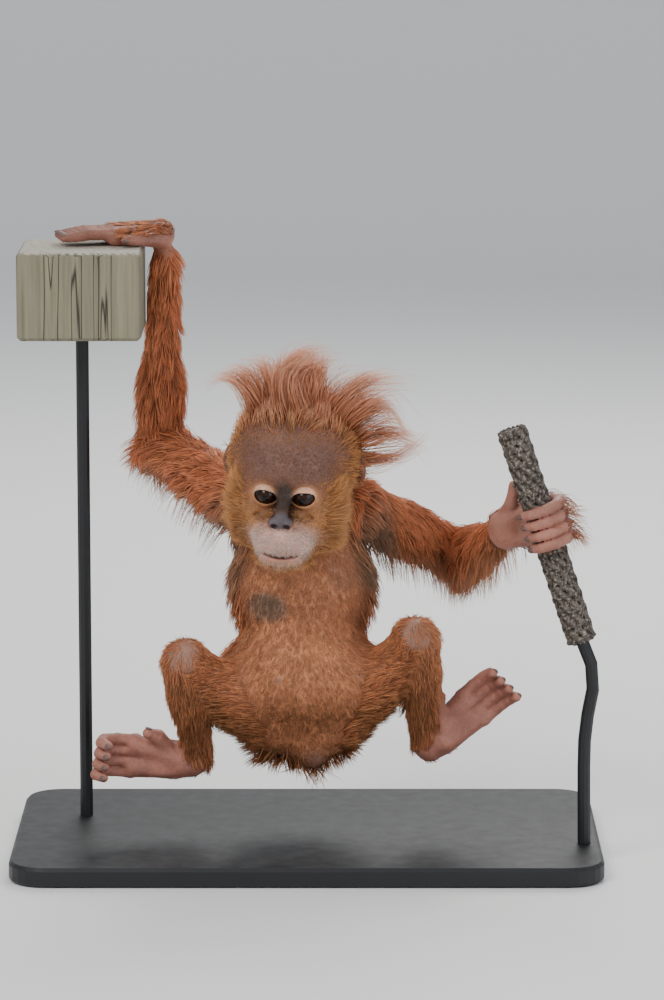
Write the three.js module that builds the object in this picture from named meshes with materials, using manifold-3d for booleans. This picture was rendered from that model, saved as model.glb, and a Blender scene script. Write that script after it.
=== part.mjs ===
// An infant orangutan, life size, hanging by its hands between the top of a post and a length of
// rope, on a display stand. Millimetres, +Z up. The animal faces -Y and its left side is +X.
// The origin is the middle of the base's underside. Each solid reaches out to the coat's tips.
import * as THREE from "three";
import { mergeVertices } from "three/addons/utils/BufferGeometryUtils.js";
import Module from "manifold-3d";

const wasm = await Module();
wasm.setup();

const gap = 0.3; // between pieces that touch
const swell = 0.6; // a piece is grown by this before it is cut out of its neighbour

// The size of one facet on each part of the body.
const trunkCell = 24;
const limbCell = 16;
const headCell = 14;
const handCell = 10;

// The display stand and the two perches.
const base = { length: 528, depth: 300, height: 18, corner: 30, bevel: 3 };
const rodRadius = 6;
const rope = { radius: 14, top: [181, -65, 395], bottom: [245, -60, 205] };
const post = { left: -259, right: -148, front: -10, back: 102, bottom: 466, top: 545, bevel: 3 };
const postMiddle = { x: (post.left + post.right) / 2, y: (post.front + post.back) / 2 };
const rodFoot = { x: 249, y: -58, straight: 120, under: 34 };

// Where the skeleton bends.
const joint = {
  shoulderLeft: [46, 6, 314],
  elbowLeft: [143, 118, 251],
  wristLeft: [176, -32, 299],
  shoulderRight: [-60, 14, 318],
  elbowRight: [-137, 122, 357],
  wristRight: [-129, 77, 532],
  hipLeft: [30, -2, 118],
  kneeLeft: [97, -56, 204],
  ankleLeft: [107, -4, 104],
  hipRight: [-38, -2, 118],
  kneeRight: [-108, -66, 186],
  ankleRight: [-99, -10, 88],
};

// Limbs from the trunk outwards: the flesh's radius at each joint, and the coat's depth over it.
const limbs = {
  armLeft: {
    joints: ["shoulderLeft", "elbowLeft", "wristLeft"],
    flesh: [23, 16.5, 11],
    coat: [8, 13, 9],
  },
  armRight: {
    joints: ["shoulderRight", "elbowRight", "wristRight"],
    flesh: [23, 16.5, 11],
    coat: [9, 13, 7],
  },
  legLeft: {
    joints: ["hipLeft", "kneeLeft", "ankleLeft"],
    flesh: [24, 18, 13],
    coat: [6, 7, 5],
  },
  legRight: {
    joints: ["hipRight", "kneeRight", "ankleRight"],
    flesh: [24, 18, 13],
    coat: [6, 7, 5],
  },
};

// The trunk as overlapping rounded masses: centre, half sizes, and the coat's depth.
const trunkMasses = [
  { centre: [-4, 4, 116], half: [46, 38, 32], coat: 6 },
  { centre: [-5, -10, 166], half: [69, 53, 52], coat: 6 },
  { centre: [-4, 0, 246], half: [62, 48, 66], coat: 8 },
  { centre: [-8, 12, 300], half: [56, 36, 34], coat: 9 },
];
const scrotum = { centre: [5, -10, 92], half: [11, 12, 13], coat: 1 };
const trunkCuts = { pelvisTop: 132, bellyTop: 204 };
const neck = { from: [-8, 14, 308], to: [-12, -16, 344], flesh: [40, 42], coat: 8 };

// The head, in its own frame: x to its left, -y out of the face, z to the crown.
const head = { centre: [-12, -40, 355], yaw: 7, pitch: 8, roll: 3 };
const headMasses = [
  { centre: [0, 7, 12], half: [57, 61, 51], coat: 2.5 },
  { centre: [0, -36, 1], half: [43, 22, 20], coat: 1 },
  { centre: [29, -34, -22], half: [21, 23, 24], coat: 4 },
  { centre: [-29, -34, -22], half: [21, 23, 24], coat: 4 },
  { centre: [0, -56, -42], half: [28, 25, 20], coat: 2 },
  { centre: [0, -48, -60], half: [26, 23, 15], coat: 3 },
  { centre: [25, -22, -46], half: [22, 24, 20], coat: 6 },
  { centre: [-25, -22, -46], half: [22, 24, 20], coat: 6 },
  { centre: [0, -66, -24], half: [9, 12, 7], coat: 0 },
];
const eye = { apart: 16.8, forward: -49, height: -8, radius: 10.5 };
const eyeOpening = { forward: -66, half: [12.5, 14, 7.5] };
const ear = { apart: 60, back: 16, height: 2, half: [5, 10, 14] };

// Locks of head hair: root and tip, a bend between them, and the thickness at the root.
const crestLocks = [
  { root: [2, -8, 58], bend: [-14, -2, 92], tip: [0, 0, 122], thick: 15 },
  { root: [6, 4, 58], bend: [18, 6, 96], tip: [12, 8, 118], thick: 13 },
  { root: [-30, 4, 50], bend: [-48, 8, 84], tip: [-70, 8, 98], thick: 12 },
  { root: [-20, 16, 54], bend: [-34, 24, 84], tip: [-36, 34, 104], thick: 12 },
  { root: [32, 6, 50], bend: [54, 10, 86], tip: [84, 14, 94], thick: 12 },
  { root: [44, 10, 42], bend: [78, 14, 70], tip: [98, 18, 58], thick: 11 },
  { root: [52, 16, 26], bend: [88, 22, 42], tip: [112, 26, 30], thick: 10 },
  { root: [54, 18, 6], bend: [84, 24, 10], tip: [118, 26, 12], thick: 10 },
  { root: [10, 40, 56], bend: [12, 58, 82], tip: [10, 76, 98], thick: 13 },
  { root: [-24, 50, 40], bend: [-36, 74, 54], tip: [-44, 92, 50], thick: 12 },
  { root: [30, 50, 38], bend: [44, 74, 50], tip: [54, 92, 44], thick: 12 },
];
const crestTipRadius = 2.5;

// Hands and feet have frames of their own: out to the finger tips, across to the thumb's side,
// and out of the palm or sole. Points in them are [out, thumb, palm].
const fingerNames = ["thumb", "index", "middle", "ring", "little"];
const toeNames = ["hallux", "toe2", "toe3", "toe4", "toe5"];
const digitSpacing = 10.4;
const fingerRow = [1.5, 0.5, -0.5, -1.5].map((step) => step * digitSpacing);
const fingerRadii = [5, 4.9, 4.7, 4.4, 3.4];
const thumbRadii = [5.6, 5, 3.6];
const palmSize = { length: 44, thickness: 8.5, wrist: 11, coat: 1.5 };
// The gripping fingers: turns round the rope from its far side, and how slack they lie on it.
const grip = {
  knuckleTurn: 72,
  turns: [72, 38, 5, -35, -75, -112, -142],
  slack: [3, 1, 0.4, 0.2, 0, 0, 0],
};
// The hand that lies flat: its place, its direction, and one finger's points as [out, palm].
const flatHand = {
  place: [-133, 73, 552.5],
  out: [-1, -0.22, 0.02],
  finger: [
    [42, 0],
    [54, -2],
    [68, -2],
    [80, 0],
    [91, 1.2],
  ],
};
const thumbs = {
  gripping: [
    [8, 16, 2],
    [15, 23, 7],
    [20, 31, 10],
    [23, 39, 11],
  ],
  flat: [
    [8, 16, 0],
    [18, 25, 1],
    [29, 31, 1.4],
    [38, 33, 1.4],
  ],
};
const toeRadii = [4.9, 4.9, 4.7, 4.4, 3.6];
const halluxRadii = [7, 6.4, 5];
const soleCoat = 1.5;
const soleMasses = [
  { from: [-16, 0, -4], to: [4, 0, -3], radii: [14, 13] },
  { from: [0, 4, -3], to: [36, 11, 0], radii: [13, 9] },
  { from: [0, -4, -3], to: [36, -11, 0], radii: [13, 9] },
];
const feet = {
  left: {
    place: [123, -10, 106],
    out: [0.72, 0, 0.69],
    sole: [0, -1, -0.1],
    side: 1,
    toe: [
      [38, 0],
      [52, 1],
      [64, 5],
      [72, 12],
      [75, 20],
    ],
    hallux: [
      [10, 15, 2],
      [16, 24, 6],
      [24, 30, 10],
    ],
  },
  right: {
    place: [-121, -18, 84],
    out: [-0.97, -0.1, 0.15],
    sole: [0, -1, -0.15],
    side: -1,
    toe: [
      [38, 0],
      [54, 2],
      [66, 8],
      [69, 17],
      [62, 23],
    ],
    hallux: [
      [10, 15, 2],
      [18, 24, 6],
      [28, 28, 11],
    ],
  },
};

const ahead = new THREE.Vector3(0, -1, 0);
const up = new THREE.Vector3(0, 0, 1);
const vec = (a) => new THREE.Vector3(...a);

// A right-angled frame at a place. `side` is 1 for a left hand or foot, and -1 for a right one.
function frameOf(place, out, palm, side) {
  const x = out.clone().normalize();
  const y = palm.clone().cross(x).normalize();
  const z = new THREE.Vector3().crossVectors(x, y);
  return new THREE.Matrix4().makeBasis(x, y.multiplyScalar(side), z).setPosition(...place);
}

// Signed distance fields: negative inside.
function ellipsoid({ centre, half, coat }) {
  const middle = vec(centre);
  const size = vec(half).addScalar(coat);
  return (p) => {
    const q = p.clone().sub(middle).divide(size);
    const reach = q.length();
    const slope = q.divide(size).length();
    return slope < 1e-9 ? -Math.min(...size) : (reach * (reach - 1)) / slope;
  };
}

function cone(from, to, startRadius, endRadius) {
  const start = vec(from);
  const axis = vec(to).sub(start);
  return (p) => {
    const q = p.clone().sub(start);
    const share = THREE.MathUtils.clamp(q.dot(axis) / axis.lengthSq(), 0, 1);
    const radius = THREE.MathUtils.lerp(startRadius, endRadius, share);
    return q.addScaledVector(axis, -share).length() - radius;
  };
}

function blend(fields, softness) {
  return (p) => {
    let near = fields[0](p);
    for (const field of fields.slice(1)) {
      const other = field(p);
      const overlap = Math.max(softness - Math.abs(near - other), 0) / softness;
      near = Math.min(near, other) - (overlap * overlap * softness) / 4;
    }
    return near;
  };
}

function inFrame(frame, field) {
  const inverse = frame.clone().invert();
  return (p) => field(p.clone().applyMatrix4(inverse));
}

function gradient(field, p) {
  const step = 0.5;
  const slope = ["x", "y", "z"].map((axis) => {
    const q = p.clone();
    q[axis] += step;
    const high = field(q);
    q[axis] -= 2 * step;
    return (high - field(q)) / (2 * step);
  });
  return vec(slope);
}

// The closed surface where a field is zero: one vertex in each grid cell that it crosses.
function surfaceOf(field, box, cell) {
  const size = box.getSize(new THREE.Vector3());
  const counts = size.toArray().map((length) => Math.ceil(length / cell) + 2);
  const place = (i, j, k) => new THREE.Vector3(i, j, k).multiplyScalar(cell).add(box.min);
  const index = (i, j, k) => i + counts[0] * (j + counts[1] * k);
  const values = new Float64Array(counts[0] * counts[1] * counts[2]);
  const points = [];
  const pointOf = new Map();
  const faces = [];
  const everyCell = (visit) => {
    for (let k = 0; k < counts[2]; k++) {
      for (let j = 0; j < counts[1]; j++) {
        for (let i = 0; i < counts[0]; i++) visit(i, j, k);
      }
    }
  };
  everyCell((i, j, k) => {
    values[index(i, j, k)] = field(place(i, j, k));
  });
  const steps = [
    [1, 0, 0],
    [0, 1, 0],
    [0, 0, 1],
  ];
  const corners = [0, 1, 2, 3, 4, 5, 6, 7].map((bits) => [bits & 1, (bits >> 1) & 1, bits >> 2]);
  everyCell((i, j, k) => {
    if (i + 1 >= counts[0] || j + 1 >= counts[1] || k + 1 >= counts[2]) return;
    const sum = new THREE.Vector3();
    let crossings = 0;
    for (const [a, b, c] of corners) {
      for (const [dx, dy, dz] of steps) {
        if (a + dx > 1 || b + dy > 1 || c + dz > 1) continue;
        const start = values[index(i + a, j + b, k + c)];
        const end = values[index(i + a + dx, j + b + dy, k + c + dz)];
        if (start < 0 === end < 0) continue;
        const share = start / (start - end);
        sum.add(place(i + a + share * dx, j + b + share * dy, k + c + share * dz));
        crossings++;
      }
    }
    if (!crossings) return;
    const point = sum.divideScalar(crossings);
    for (let pass = 0; pass < 3; pass++) {
      const slope = gradient(field, point);
      point.addScaledVector(slope, -field(point) / Math.max(slope.lengthSq(), 0.1));
    }
    pointOf.set(index(i, j, k), points.length);
    points.push(point);
  });
  everyCell((i, j, k) => {
    const here = values[index(i, j, k)];
    steps.forEach((step, axis) => {
      const next = [i + step[0], j + step[1], k + step[2]];
      if (next.some((n, a) => n >= counts[a])) return;
      const there = values[index(...next)];
      if (here < 0 === there < 0) return;
      const [u, v] = [steps[(axis + 1) % 3], steps[(axis + 2) % 3]];
      const around = [
        [0, 0],
        [1, 0],
        [1, 1],
        [0, 1],
      ].map(([a, b]) => {
        const cellAt = [i, j, k].map((n, c) => n - a * u[c] - b * v[c]);
        return pointOf.get(index(...cellAt));
      });
      if (here >= 0) around.reverse();
      const [a, b, c, d] = around;
      const shortFirst = points[a].distanceTo(points[c]) < points[b].distanceTo(points[d]);
      faces.push(...(shortFirst ? [a, b, c, a, c, d] : [a, b, d, b, c, d]));
    });
  });
  return solidFrom(points, faces);
}

// Solids from points and triangles, and from three.js geometries.
function solidFrom(points, faces) {
  const positions = new Float32Array(points.flatMap((p) => [p.x, p.y, p.z]));
  const make = (triangles) =>
    new wasm.Manifold(
      new wasm.Mesh({
        numProp: 3,
        vertProperties: positions,
        triVerts: new Uint32Array(triangles),
      }),
    );
  const made = make(faces);
  return made.volume() > 0 ? made : make(faces.slice().reverse());
}

function solid(geometry) {
  const bare = geometry.clone();
  bare.deleteAttribute("normal");
  bare.deleteAttribute("uv");
  const merged = mergeVertices(bare, 1e-3);
  const spots = merged.attributes.position;
  const points = Array.from({ length: spots.count }, (_, i) =>
    new THREE.Vector3().fromBufferAttribute(spots, i),
  );
  return solidFrom(points, Array.from(merged.index.array));
}

function indexedGeometry(made) {
  const { numProp, vertProperties, triVerts } = made.getMesh();
  const count = vertProperties.length / numProp;
  const positions = new Float32Array(count * 3);
  for (let i = 0; i < count; i++) {
    positions.set(vertProperties.subarray(i * numProp, i * numProp + 3), i * 3);
  }
  const geometry = new THREE.BufferGeometry();
  geometry.setAttribute("position", new THREE.BufferAttribute(positions, 3));
  geometry.setIndex(new THREE.BufferAttribute(new Uint32Array(triVerts), 1));
  return mergeVertices(geometry, 1e-4);
}

// The same solid with every point moved out along its normal.
function swollen(made) {
  const geometry = indexedGeometry(made);
  geometry.computeVertexNormals();
  const { position, normal } = geometry.attributes;
  const points = Array.from({ length: position.count }, (_, i) =>
    new THREE.Vector3()
      .fromBufferAttribute(position, i)
      .addScaledVector(new THREE.Vector3().fromBufferAttribute(normal, i), swell),
  );
  return solidFrom(points, Array.from(geometry.index.array));
}

// The largest body of a solid, which drops slivers left by a cut.
function mainBody(made) {
  return made.decompose().sort((a, b) => b.volume() - a.volume())[0];
}

function without(made, ...others) {
  return mainBody(others.reduce((left, other) => left.subtract(swollen(other)), made));
}

// Parts a solid by a plane, with the gap between: first what lies behind the plane.
function parted(made, point, normal) {
  const size = 700;
  const halfSpace = new THREE.BoxGeometry(size, size, size);
  halfSpace.translate(0, 0, size / 2 + gap / 2);
  const turn = new THREE.Quaternion().setFromUnitVectors(up, normal.clone().normalize());
  const aheadBox = halfSpace.clone().applyQuaternion(turn).translate(...point.toArray());
  halfSpace.rotateX(Math.PI);
  const behindBox = halfSpace.applyQuaternion(turn).translate(...point.toArray());
  return [
    mainBody(made.intersect(solid(behindBox))),
    mainBody(made.intersect(solid(aheadBox))),
  ];
}

function boxAround(points, margin) {
  return new THREE.Box3().setFromPoints(points).expandByScalar(margin);
}

// A closed tapered tube through points, round at both ends. `side` is never along the path.
function tube(points, radii, side, sides = 8) {
  const count = points.length;
  const rings = points.map((centre, i) => {
    const before = points[Math.max(i - 1, 0)];
    const after = points[Math.min(i + 1, count - 1)];
    const tangent = after.clone().sub(before).normalize();
    const across = new THREE.Vector3().crossVectors(side, tangent).normalize();
    const high = new THREE.Vector3().crossVectors(tangent, across);
    return { centre, tangent, across, high, radius: radii[i] };
  });
  const spots = [];
  const faces = [];
  for (const { centre, across, high, radius } of rings) {
    for (let i = 0; i < sides; i++) {
      const turn = (2 * Math.PI * i) / sides;
      const spoke = across.clone().multiplyScalar(Math.cos(turn));
      spoke.addScaledVector(high, Math.sin(turn));
      spots.push(centre.clone().addScaledVector(spoke, radius));
    }
  }
  const [first, last] = [rings[0], rings[count - 1]];
  const domed = 0.7;
  spots.push(first.centre.clone().addScaledVector(first.tangent, -domed * first.radius));
  spots.push(last.centre.clone().addScaledVector(last.tangent, domed * last.radius));
  const startTip = count * sides;
  const lastRing = (count - 1) * sides;
  for (let i = 0; i < sides; i++) {
    const next = (i + 1) % sides;
    for (let row = 0; row < lastRing; row += sides) {
      const [a, b, c, d] = [row + i, row + next, row + sides + next, row + sides + i];
      faces.push(a, b, c, a, c, d);
    }
    faces.push(startTip, next, i, startTip + 1, lastRing + i, lastRing + next);
  }
  return solidFrom(spots, faces);
}

const group = new THREE.Group();

function addNode(name, made, look) {
  const geometry = indexedGeometry(made).toNonIndexed();
  geometry.computeVertexNormals();
  const mesh = new THREE.Mesh(geometry, new THREE.MeshStandardMaterial(look));
  mesh.name = name;
  group.add(mesh);
}

const looks = {
  coat: { color: 0xb5602a, roughness: 0.8, metalness: 0 },
  skin: { color: 0x9c6450, roughness: 0.65, metalness: 0 },
  bareSkin: { color: 0x7d5a52, roughness: 0.6, metalness: 0 },
  eye: { color: 0x1c0f0a, roughness: 0.1, metalness: 0 },
  rope: { color: 0x4b443c, roughness: 0.9, metalness: 0 },
  wood: { color: 0x8d8a74, roughness: 0.85, metalness: 0 },
  stand: { color: 0x26272a, roughness: 0.5, metalness: 0 },
};

// The perches: a straight cut of rope and a cut from the top of a square post.
const ropeTop = vec(rope.top);
const ropeBottom = vec(rope.bottom);
const ropeDown = ropeBottom.clone().sub(ropeTop).normalize();
const ropeSolid = (() => {
  const length = ropeTop.distanceTo(ropeBottom);
  const shape = new THREE.CylinderGeometry(rope.radius, rope.radius, length, 16);
  const turn = new THREE.Quaternion().setFromUnitVectors(new THREE.Vector3(0, -1, 0), ropeDown);
  const middle = ropeTop.clone().lerp(ropeBottom, 0.5);
  return solid(shape.applyQuaternion(turn).translate(...middle.toArray()));
})();

function bevelledPlate(width, depth, height, corner, bevel) {
  const [x, y] = [width / 2 - bevel, depth / 2 - bevel];
  const outline = new THREE.Shape();
  outline.moveTo(-x + corner, -y);
  outline.lineTo(x - corner, -y);
  outline.absarc(x - corner, -y + corner, corner, -Math.PI / 2, 0);
  outline.lineTo(x, y - corner);
  outline.absarc(x - corner, y - corner, corner, 0, Math.PI / 2);
  outline.lineTo(-x + corner, y);
  outline.absarc(-x + corner, y - corner, corner, Math.PI / 2, Math.PI);
  outline.lineTo(-x, -y + corner);
  outline.absarc(-x + corner, -y + corner, corner, Math.PI, 1.5 * Math.PI);
  const plate = new THREE.ExtrudeGeometry(outline, {
    depth: height - 2 * bevel,
    bevelThickness: bevel,
    bevelSize: bevel,
    bevelSegments: 1,
    curveSegments: 3,
  });
  return plate.translate(0, 0, bevel);
}

const postSolid = solid(
  bevelledPlate(
    post.right - post.left,
    post.back - post.front,
    post.top - post.bottom,
    2,
    post.bevel,
  ).translate(postMiddle.x, postMiddle.y, post.bottom),
);

// Head with its crest of hair, eyes and ears.
const headFrame = new THREE.Matrix4()
  .makeRotationFromEuler(
    new THREE.Euler(
      THREE.MathUtils.degToRad(head.pitch),
      THREE.MathUtils.degToRad(head.roll),
      -THREE.MathUtils.degToRad(head.yaw),
      "ZYX",
    ),
  )
  .setPosition(...head.centre);
const inHead = (x, y, z) => new THREE.Vector3(x, y, z).applyMatrix4(headFrame);

const headField = inFrame(headFrame, blend(headMasses.map(ellipsoid), 12));
const eyeSolids = [1, -1].map((side) => {
  const ball = new THREE.SphereGeometry(eye.radius, 12, 8);
  return solid(ball.translate(...inHead(side * eye.apart, eye.forward, eye.height)));
});
const baldHead = surfaceOf(headField, boxAround([vec(head.centre)], 105), headCell);
const hairyHead = crestLocks.reduce((grown, { root, bend, tip, thick }) => {
  const path = new THREE.QuadraticBezierCurve3(vec(root), vec(bend), vec(tip));
  const points = path.getPoints(3).map((p) => p.applyMatrix4(headFrame));
  const radii = points.map((_, i) => THREE.MathUtils.lerp(thick, crestTipRadius, i / 3));
  return grown.add(tube(points, radii, ahead, 6));
}, baldHead);
const openings = [1, -1].map((side) => {
  const hollow = new THREE.SphereGeometry(1, 10, 6).scale(...eyeOpening.half);
  hollow.translate(side * eye.apart, eyeOpening.forward, eye.height);
  return solid(hollow.applyMatrix4(headFrame));
});
const headSolid = without(hairyHead, ...openings, ...eyeSolids);
const earSolids = [1, -1].map((side) => {
  const disc = new THREE.SphereGeometry(1, 8, 6).scale(...ear.half);
  disc.rotateZ(side * 0.5).translate(side * ear.apart, ear.back, ear.height);
  return without(solid(disc.applyMatrix4(headFrame)), headSolid);
});

// Limbs, each blended whole and then parted at its middle joint.
function limb({ joints, flesh, coat }) {
  const spots = joints.map((name) => vec(joint[name]));
  const radii = flesh.map((radius, i) => radius + coat[i]);
  const bones = [0, 1].map((i) => cone(spots[i], spots[i + 1], radii[i], radii[i + 1]));
  const whole = surfaceOf(blend(bones, 16), boxAround(spots, 45), limbCell);
  const [top, middle, end] = spots;
  const inward = middle.clone().sub(top).normalize();
  const onward = end.clone().sub(middle).normalize();
  const [upper, lower] = parted(whole, middle, inward.add(onward));
  return { whole, upper, lower };
}

const armLeft = limb(limbs.armLeft);
const armRight = limb(limbs.armRight);
const legLeft = limb(limbs.legLeft);
const legRight = limb(limbs.legRight);

// The trunk, parted level by level, with the neck between it and the head.
const neckEnds = [vec(neck.from), vec(neck.to)];
const neckField = cone(...neckEnds, neck.flesh[0] + neck.coat, neck.flesh[1] + neck.coat);
const wholeNeck = surfaceOf(neckField, boxAround(neckEnds, 60), trunkCell);
const arms = [armLeft.whole, armRight.whole];
const legs = [legLeft.whole, legRight.whole];
const neckSolid = without(wholeNeck, baldHead, ...arms, ...earSolids);
const trunkField = blend([...trunkMasses, scrotum].map(ellipsoid), 18);
const trunkBox = boxAround([vec([0, 0, 75]), vec([0, 0, 330])], 95);
const wholeTrunk = surfaceOf(trunkField, trunkBox, trunkCell);
const trunkSolid = without(wholeTrunk, wholeNeck, baldHead, ...arms, ...legs);
const [pelvisSolid, abovePelvis] = parted(trunkSolid, vec([0, 0, trunkCuts.pelvisTop]), up);
const [bellySolid, chestSolid] = parted(abovePelvis, vec([0, 0, trunkCuts.bellyTop]), up);

// Hands. Each finger is a tube through points, cut clear of the palm and of what it holds.
function palmIn(frame) {
  const { length, thickness, wrist, coat } = palmSize;
  const bones = fingerRow.map((row) =>
    cone([0, row * 0.45, 0], [length, row, 0], wrist + coat, thickness + coat),
  );
  const middle = new THREE.Vector3(length / 2, 0, 0).applyMatrix4(frame);
  return surfaceOf(inFrame(frame, blend(bones, 6)), boxAround([middle], length), handCell);
}

function digit(points, radii, side) {
  const thickness = points.map((_, i) => {
    const along = (i / (points.length - 1)) * (radii.length - 1);
    const step = Math.min(Math.floor(along), radii.length - 2);
    return THREE.MathUtils.lerp(radii[step], radii[step + 1], along - step);
  });
  return tube(points, thickness, side, 7);
}

const placed = (frame, points) => points.map((p) => vec(p).applyMatrix4(frame));
const thumbwards = (frame) => new THREE.Vector3().setFromMatrixColumn(frame, 1);

// The left hand comes from behind the rope, and its fingers close round the rope's far side.
const wristLeft = vec(joint.wristLeft);
const gripDistance = wristLeft.clone().sub(ropeTop).dot(ropeDown);
const gripCentre = ropeTop.clone().addScaledVector(ropeDown, gripDistance);
const acrossRope = new THREE.Vector3().crossVectors(ahead, ropeDown).normalize();
const behindRope = new THREE.Vector3().crossVectors(acrossRope, ropeDown).normalize();

function aroundRope(reach, degrees, row) {
  const turn = THREE.MathUtils.degToRad(degrees);
  return gripCentre
    .clone()
    .addScaledVector(acrossRope, reach * Math.cos(turn))
    .addScaledVector(behindRope, reach * Math.sin(turn))
    .addScaledVector(ropeDown, -row);
}

const knuckleReach = rope.radius + palmSize.thickness + palmSize.coat + 1;
const knuckles = aroundRope(knuckleReach, grip.knuckleTurn, 0);
const handFrameLeft = frameOf(joint.wristLeft, knuckles.sub(wristLeft), ahead, 1);
const palmLeft = palmIn(handFrameLeft);
const handLeft = without(palmLeft, armLeft.lower, ropeSolid);
const gripReach = rope.radius + fingerRadii[0] + 2 * gap;
const fingersLeft = fingerRow.map((row) => {
  const points = grip.turns.map((turn, i) => aroundRope(gripReach + grip.slack[i], turn, row));
  return without(digit(points, fingerRadii, ropeDown), palmLeft, ropeSolid);
});
const thumbLeft = without(
  digit(placed(handFrameLeft, thumbs.gripping), thumbRadii, ahead),
  palmLeft,
  armLeft.lower,
  ropeSolid,
);

// The right hand lies on the post, where the wrist bends over the edge.
const handFrameRight = frameOf(flatHand.place, vec(flatHand.out), up.clone().negate(), -1);
const forearmRight = without(armRight.lower, postSolid);
const palmRight = palmIn(handFrameRight);
const handRight = without(palmRight, forearmRight, postSolid);
const fingersRight = fingerRow.map((row) => {
  const points = placed(
    handFrameRight,
    flatHand.finger.map(([out, palm]) => [out, row, palm]),
  );
  return without(digit(points, fingerRadii, thumbwards(handFrameRight)), palmRight, postSolid);
});
const thumbRight = without(
  digit(placed(handFrameRight, thumbs.flat), thumbRadii, up),
  palmRight,
  forearmRight,
  postSolid,
);

// Feet, with the soles turned to the front.
function footOf({ place, out, sole, side, toe, hallux }, shin) {
  const frame = frameOf(place, vec(out), vec(sole), side);
  const masses = soleMasses.map(({ from, to, radii }) =>
    cone(from, to, radii[0] + soleCoat, radii[1] + soleCoat),
  );
  const field = inFrame(frame, blend(masses, 8));
  const whole = surfaceOf(field, boxAround(placed(frame, [[8, 0, 0]]), 60), handCell);
  const flesh = without(whole, shin);
  const across = thumbwards(frame);
  const toes = fingerRow.map((row) => {
    const points = toe.map(([reach, bend]) => [reach, row, bend]);
    return without(digit(placed(frame, points), toeRadii, across), whole);
  });
  const bigToe = digit(placed(frame, hallux), halluxRadii, vec(sole));
  return { flesh, digits: [without(bigToe, whole, shin), ...toes] };
}

const footLeft = footOf(feet.left, legLeft.lower);
const footRight = footOf(feet.right, legRight.lower);

// The display stand.
function rod(points) {
  const section = new THREE.Shape();
  section.absarc(0, 0, rodRadius, 0, 2 * Math.PI);
  const path = new THREE.CatmullRomCurve3(points);
  const steps = points.length > 2 ? 8 : 1;
  const shape = { steps, curveSegments: 5, bevelEnabled: false, extrudePath: path };
  return solid(new THREE.ExtrudeGeometry(section, shape));
}

const baseSolid = solid(
  bevelledPlate(base.length, base.depth, base.height, base.corner, base.bevel),
);
const rodRight = rod([
  new THREE.Vector3(postMiddle.x, postMiddle.y, base.height + gap),
  new THREE.Vector3(postMiddle.x, postMiddle.y, post.bottom - gap),
]);
const rodLeft = rod([
  new THREE.Vector3(rodFoot.x, rodFoot.y, base.height + gap),
  new THREE.Vector3(rodFoot.x, rodFoot.y, rodFoot.straight),
  ropeBottom.clone().addScaledVector(ropeDown, rodFoot.under),
  ropeBottom.clone().addScaledVector(ropeDown, gap),
]);

addNode("stand_base", baseSolid, looks.stand);
addNode("stand_rod_rope", rodLeft, looks.stand);
addNode("stand_rod_post", rodRight, looks.stand);
addNode("perch_post", postSolid, looks.wood);
addNode("perch_rope", ropeSolid, looks.rope);

addNode("head", headSolid, looks.skin);
["l", "r"].forEach((side, i) => {
  addNode("eye_" + side, eyeSolids[i], looks.eye);
  addNode("ear_" + side, earSolids[i], looks.skin);
});
addNode("neck", neckSolid, looks.coat);

addNode("pelvis", pelvisSolid, looks.coat);
addNode("belly", bellySolid, looks.skin);
addNode("chest", chestSolid, looks.skin);

const sides = {
  l: {
    arm: [armLeft.upper, armLeft.lower],
    leg: [legLeft.upper, legLeft.lower],
    hand: handLeft,
    fingers: [thumbLeft, ...fingersLeft],
    foot: footLeft,
  },
  r: {
    arm: [armRight.upper, forearmRight],
    leg: [legRight.upper, legRight.lower],
    hand: handRight,
    fingers: [thumbRight, ...fingersRight],
    foot: footRight,
  },
};
for (const [side, { arm, leg, hand, fingers, foot }] of Object.entries(sides)) {
  addNode("upper_arm_" + side, without(arm[0], headSolid), looks.coat);
  addNode("forearm_" + side, arm[1], looks.coat);
  addNode("hand_" + side, hand, looks.bareSkin);
  addNode("thigh_" + side, leg[0], looks.coat);
  addNode("shin_" + side, leg[1], looks.coat);
  addNode("foot_" + side, foot.flesh, looks.bareSkin);
  fingers.forEach((finger, i) => addNode(fingerNames[i] + "_" + side, finger, looks.bareSkin));
  foot.digits.forEach((toe, i) => addNode(toeNames[i] + "_" + side, toe, looks.bareSkin));
}

export default group;
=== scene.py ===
import math
import bpy
import numpy as np
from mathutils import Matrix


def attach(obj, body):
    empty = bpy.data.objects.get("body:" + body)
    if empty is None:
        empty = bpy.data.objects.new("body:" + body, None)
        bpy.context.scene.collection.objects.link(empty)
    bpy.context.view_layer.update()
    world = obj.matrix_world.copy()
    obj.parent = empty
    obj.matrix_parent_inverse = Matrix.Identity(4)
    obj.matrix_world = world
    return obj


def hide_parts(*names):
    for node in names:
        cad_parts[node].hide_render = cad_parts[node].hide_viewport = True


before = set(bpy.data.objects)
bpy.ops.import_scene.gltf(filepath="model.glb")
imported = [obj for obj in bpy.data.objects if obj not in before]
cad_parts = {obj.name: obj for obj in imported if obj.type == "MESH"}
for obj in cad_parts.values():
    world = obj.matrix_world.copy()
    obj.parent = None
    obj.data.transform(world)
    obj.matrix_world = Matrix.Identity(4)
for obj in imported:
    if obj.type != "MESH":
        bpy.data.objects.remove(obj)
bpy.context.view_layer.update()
rng = np.random.default_rng(11)

# Lengths are in millimetres while a shape is worked out, and in metres in every mesh.
metre = 0.001


def unit(v):
    v = np.asarray(v, float)
    return v / np.maximum(np.linalg.norm(v, axis=-1, keepdims=True), 1e-9)


def mix(a, b, share):
    share = np.asarray(share, float)
    return a + (b - a) * (share[..., None] if np.ndim(a) and np.ndim(share) else share)


def ramp(x, low, high):
    t = np.clip((x - low) / (high - low), 0, 1)
    return t * t * (3 - 2 * t)


def hump(x, centre, width):  # a smooth rise of height 1
    return np.exp(-(((x - centre) / width) ** 2))


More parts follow.
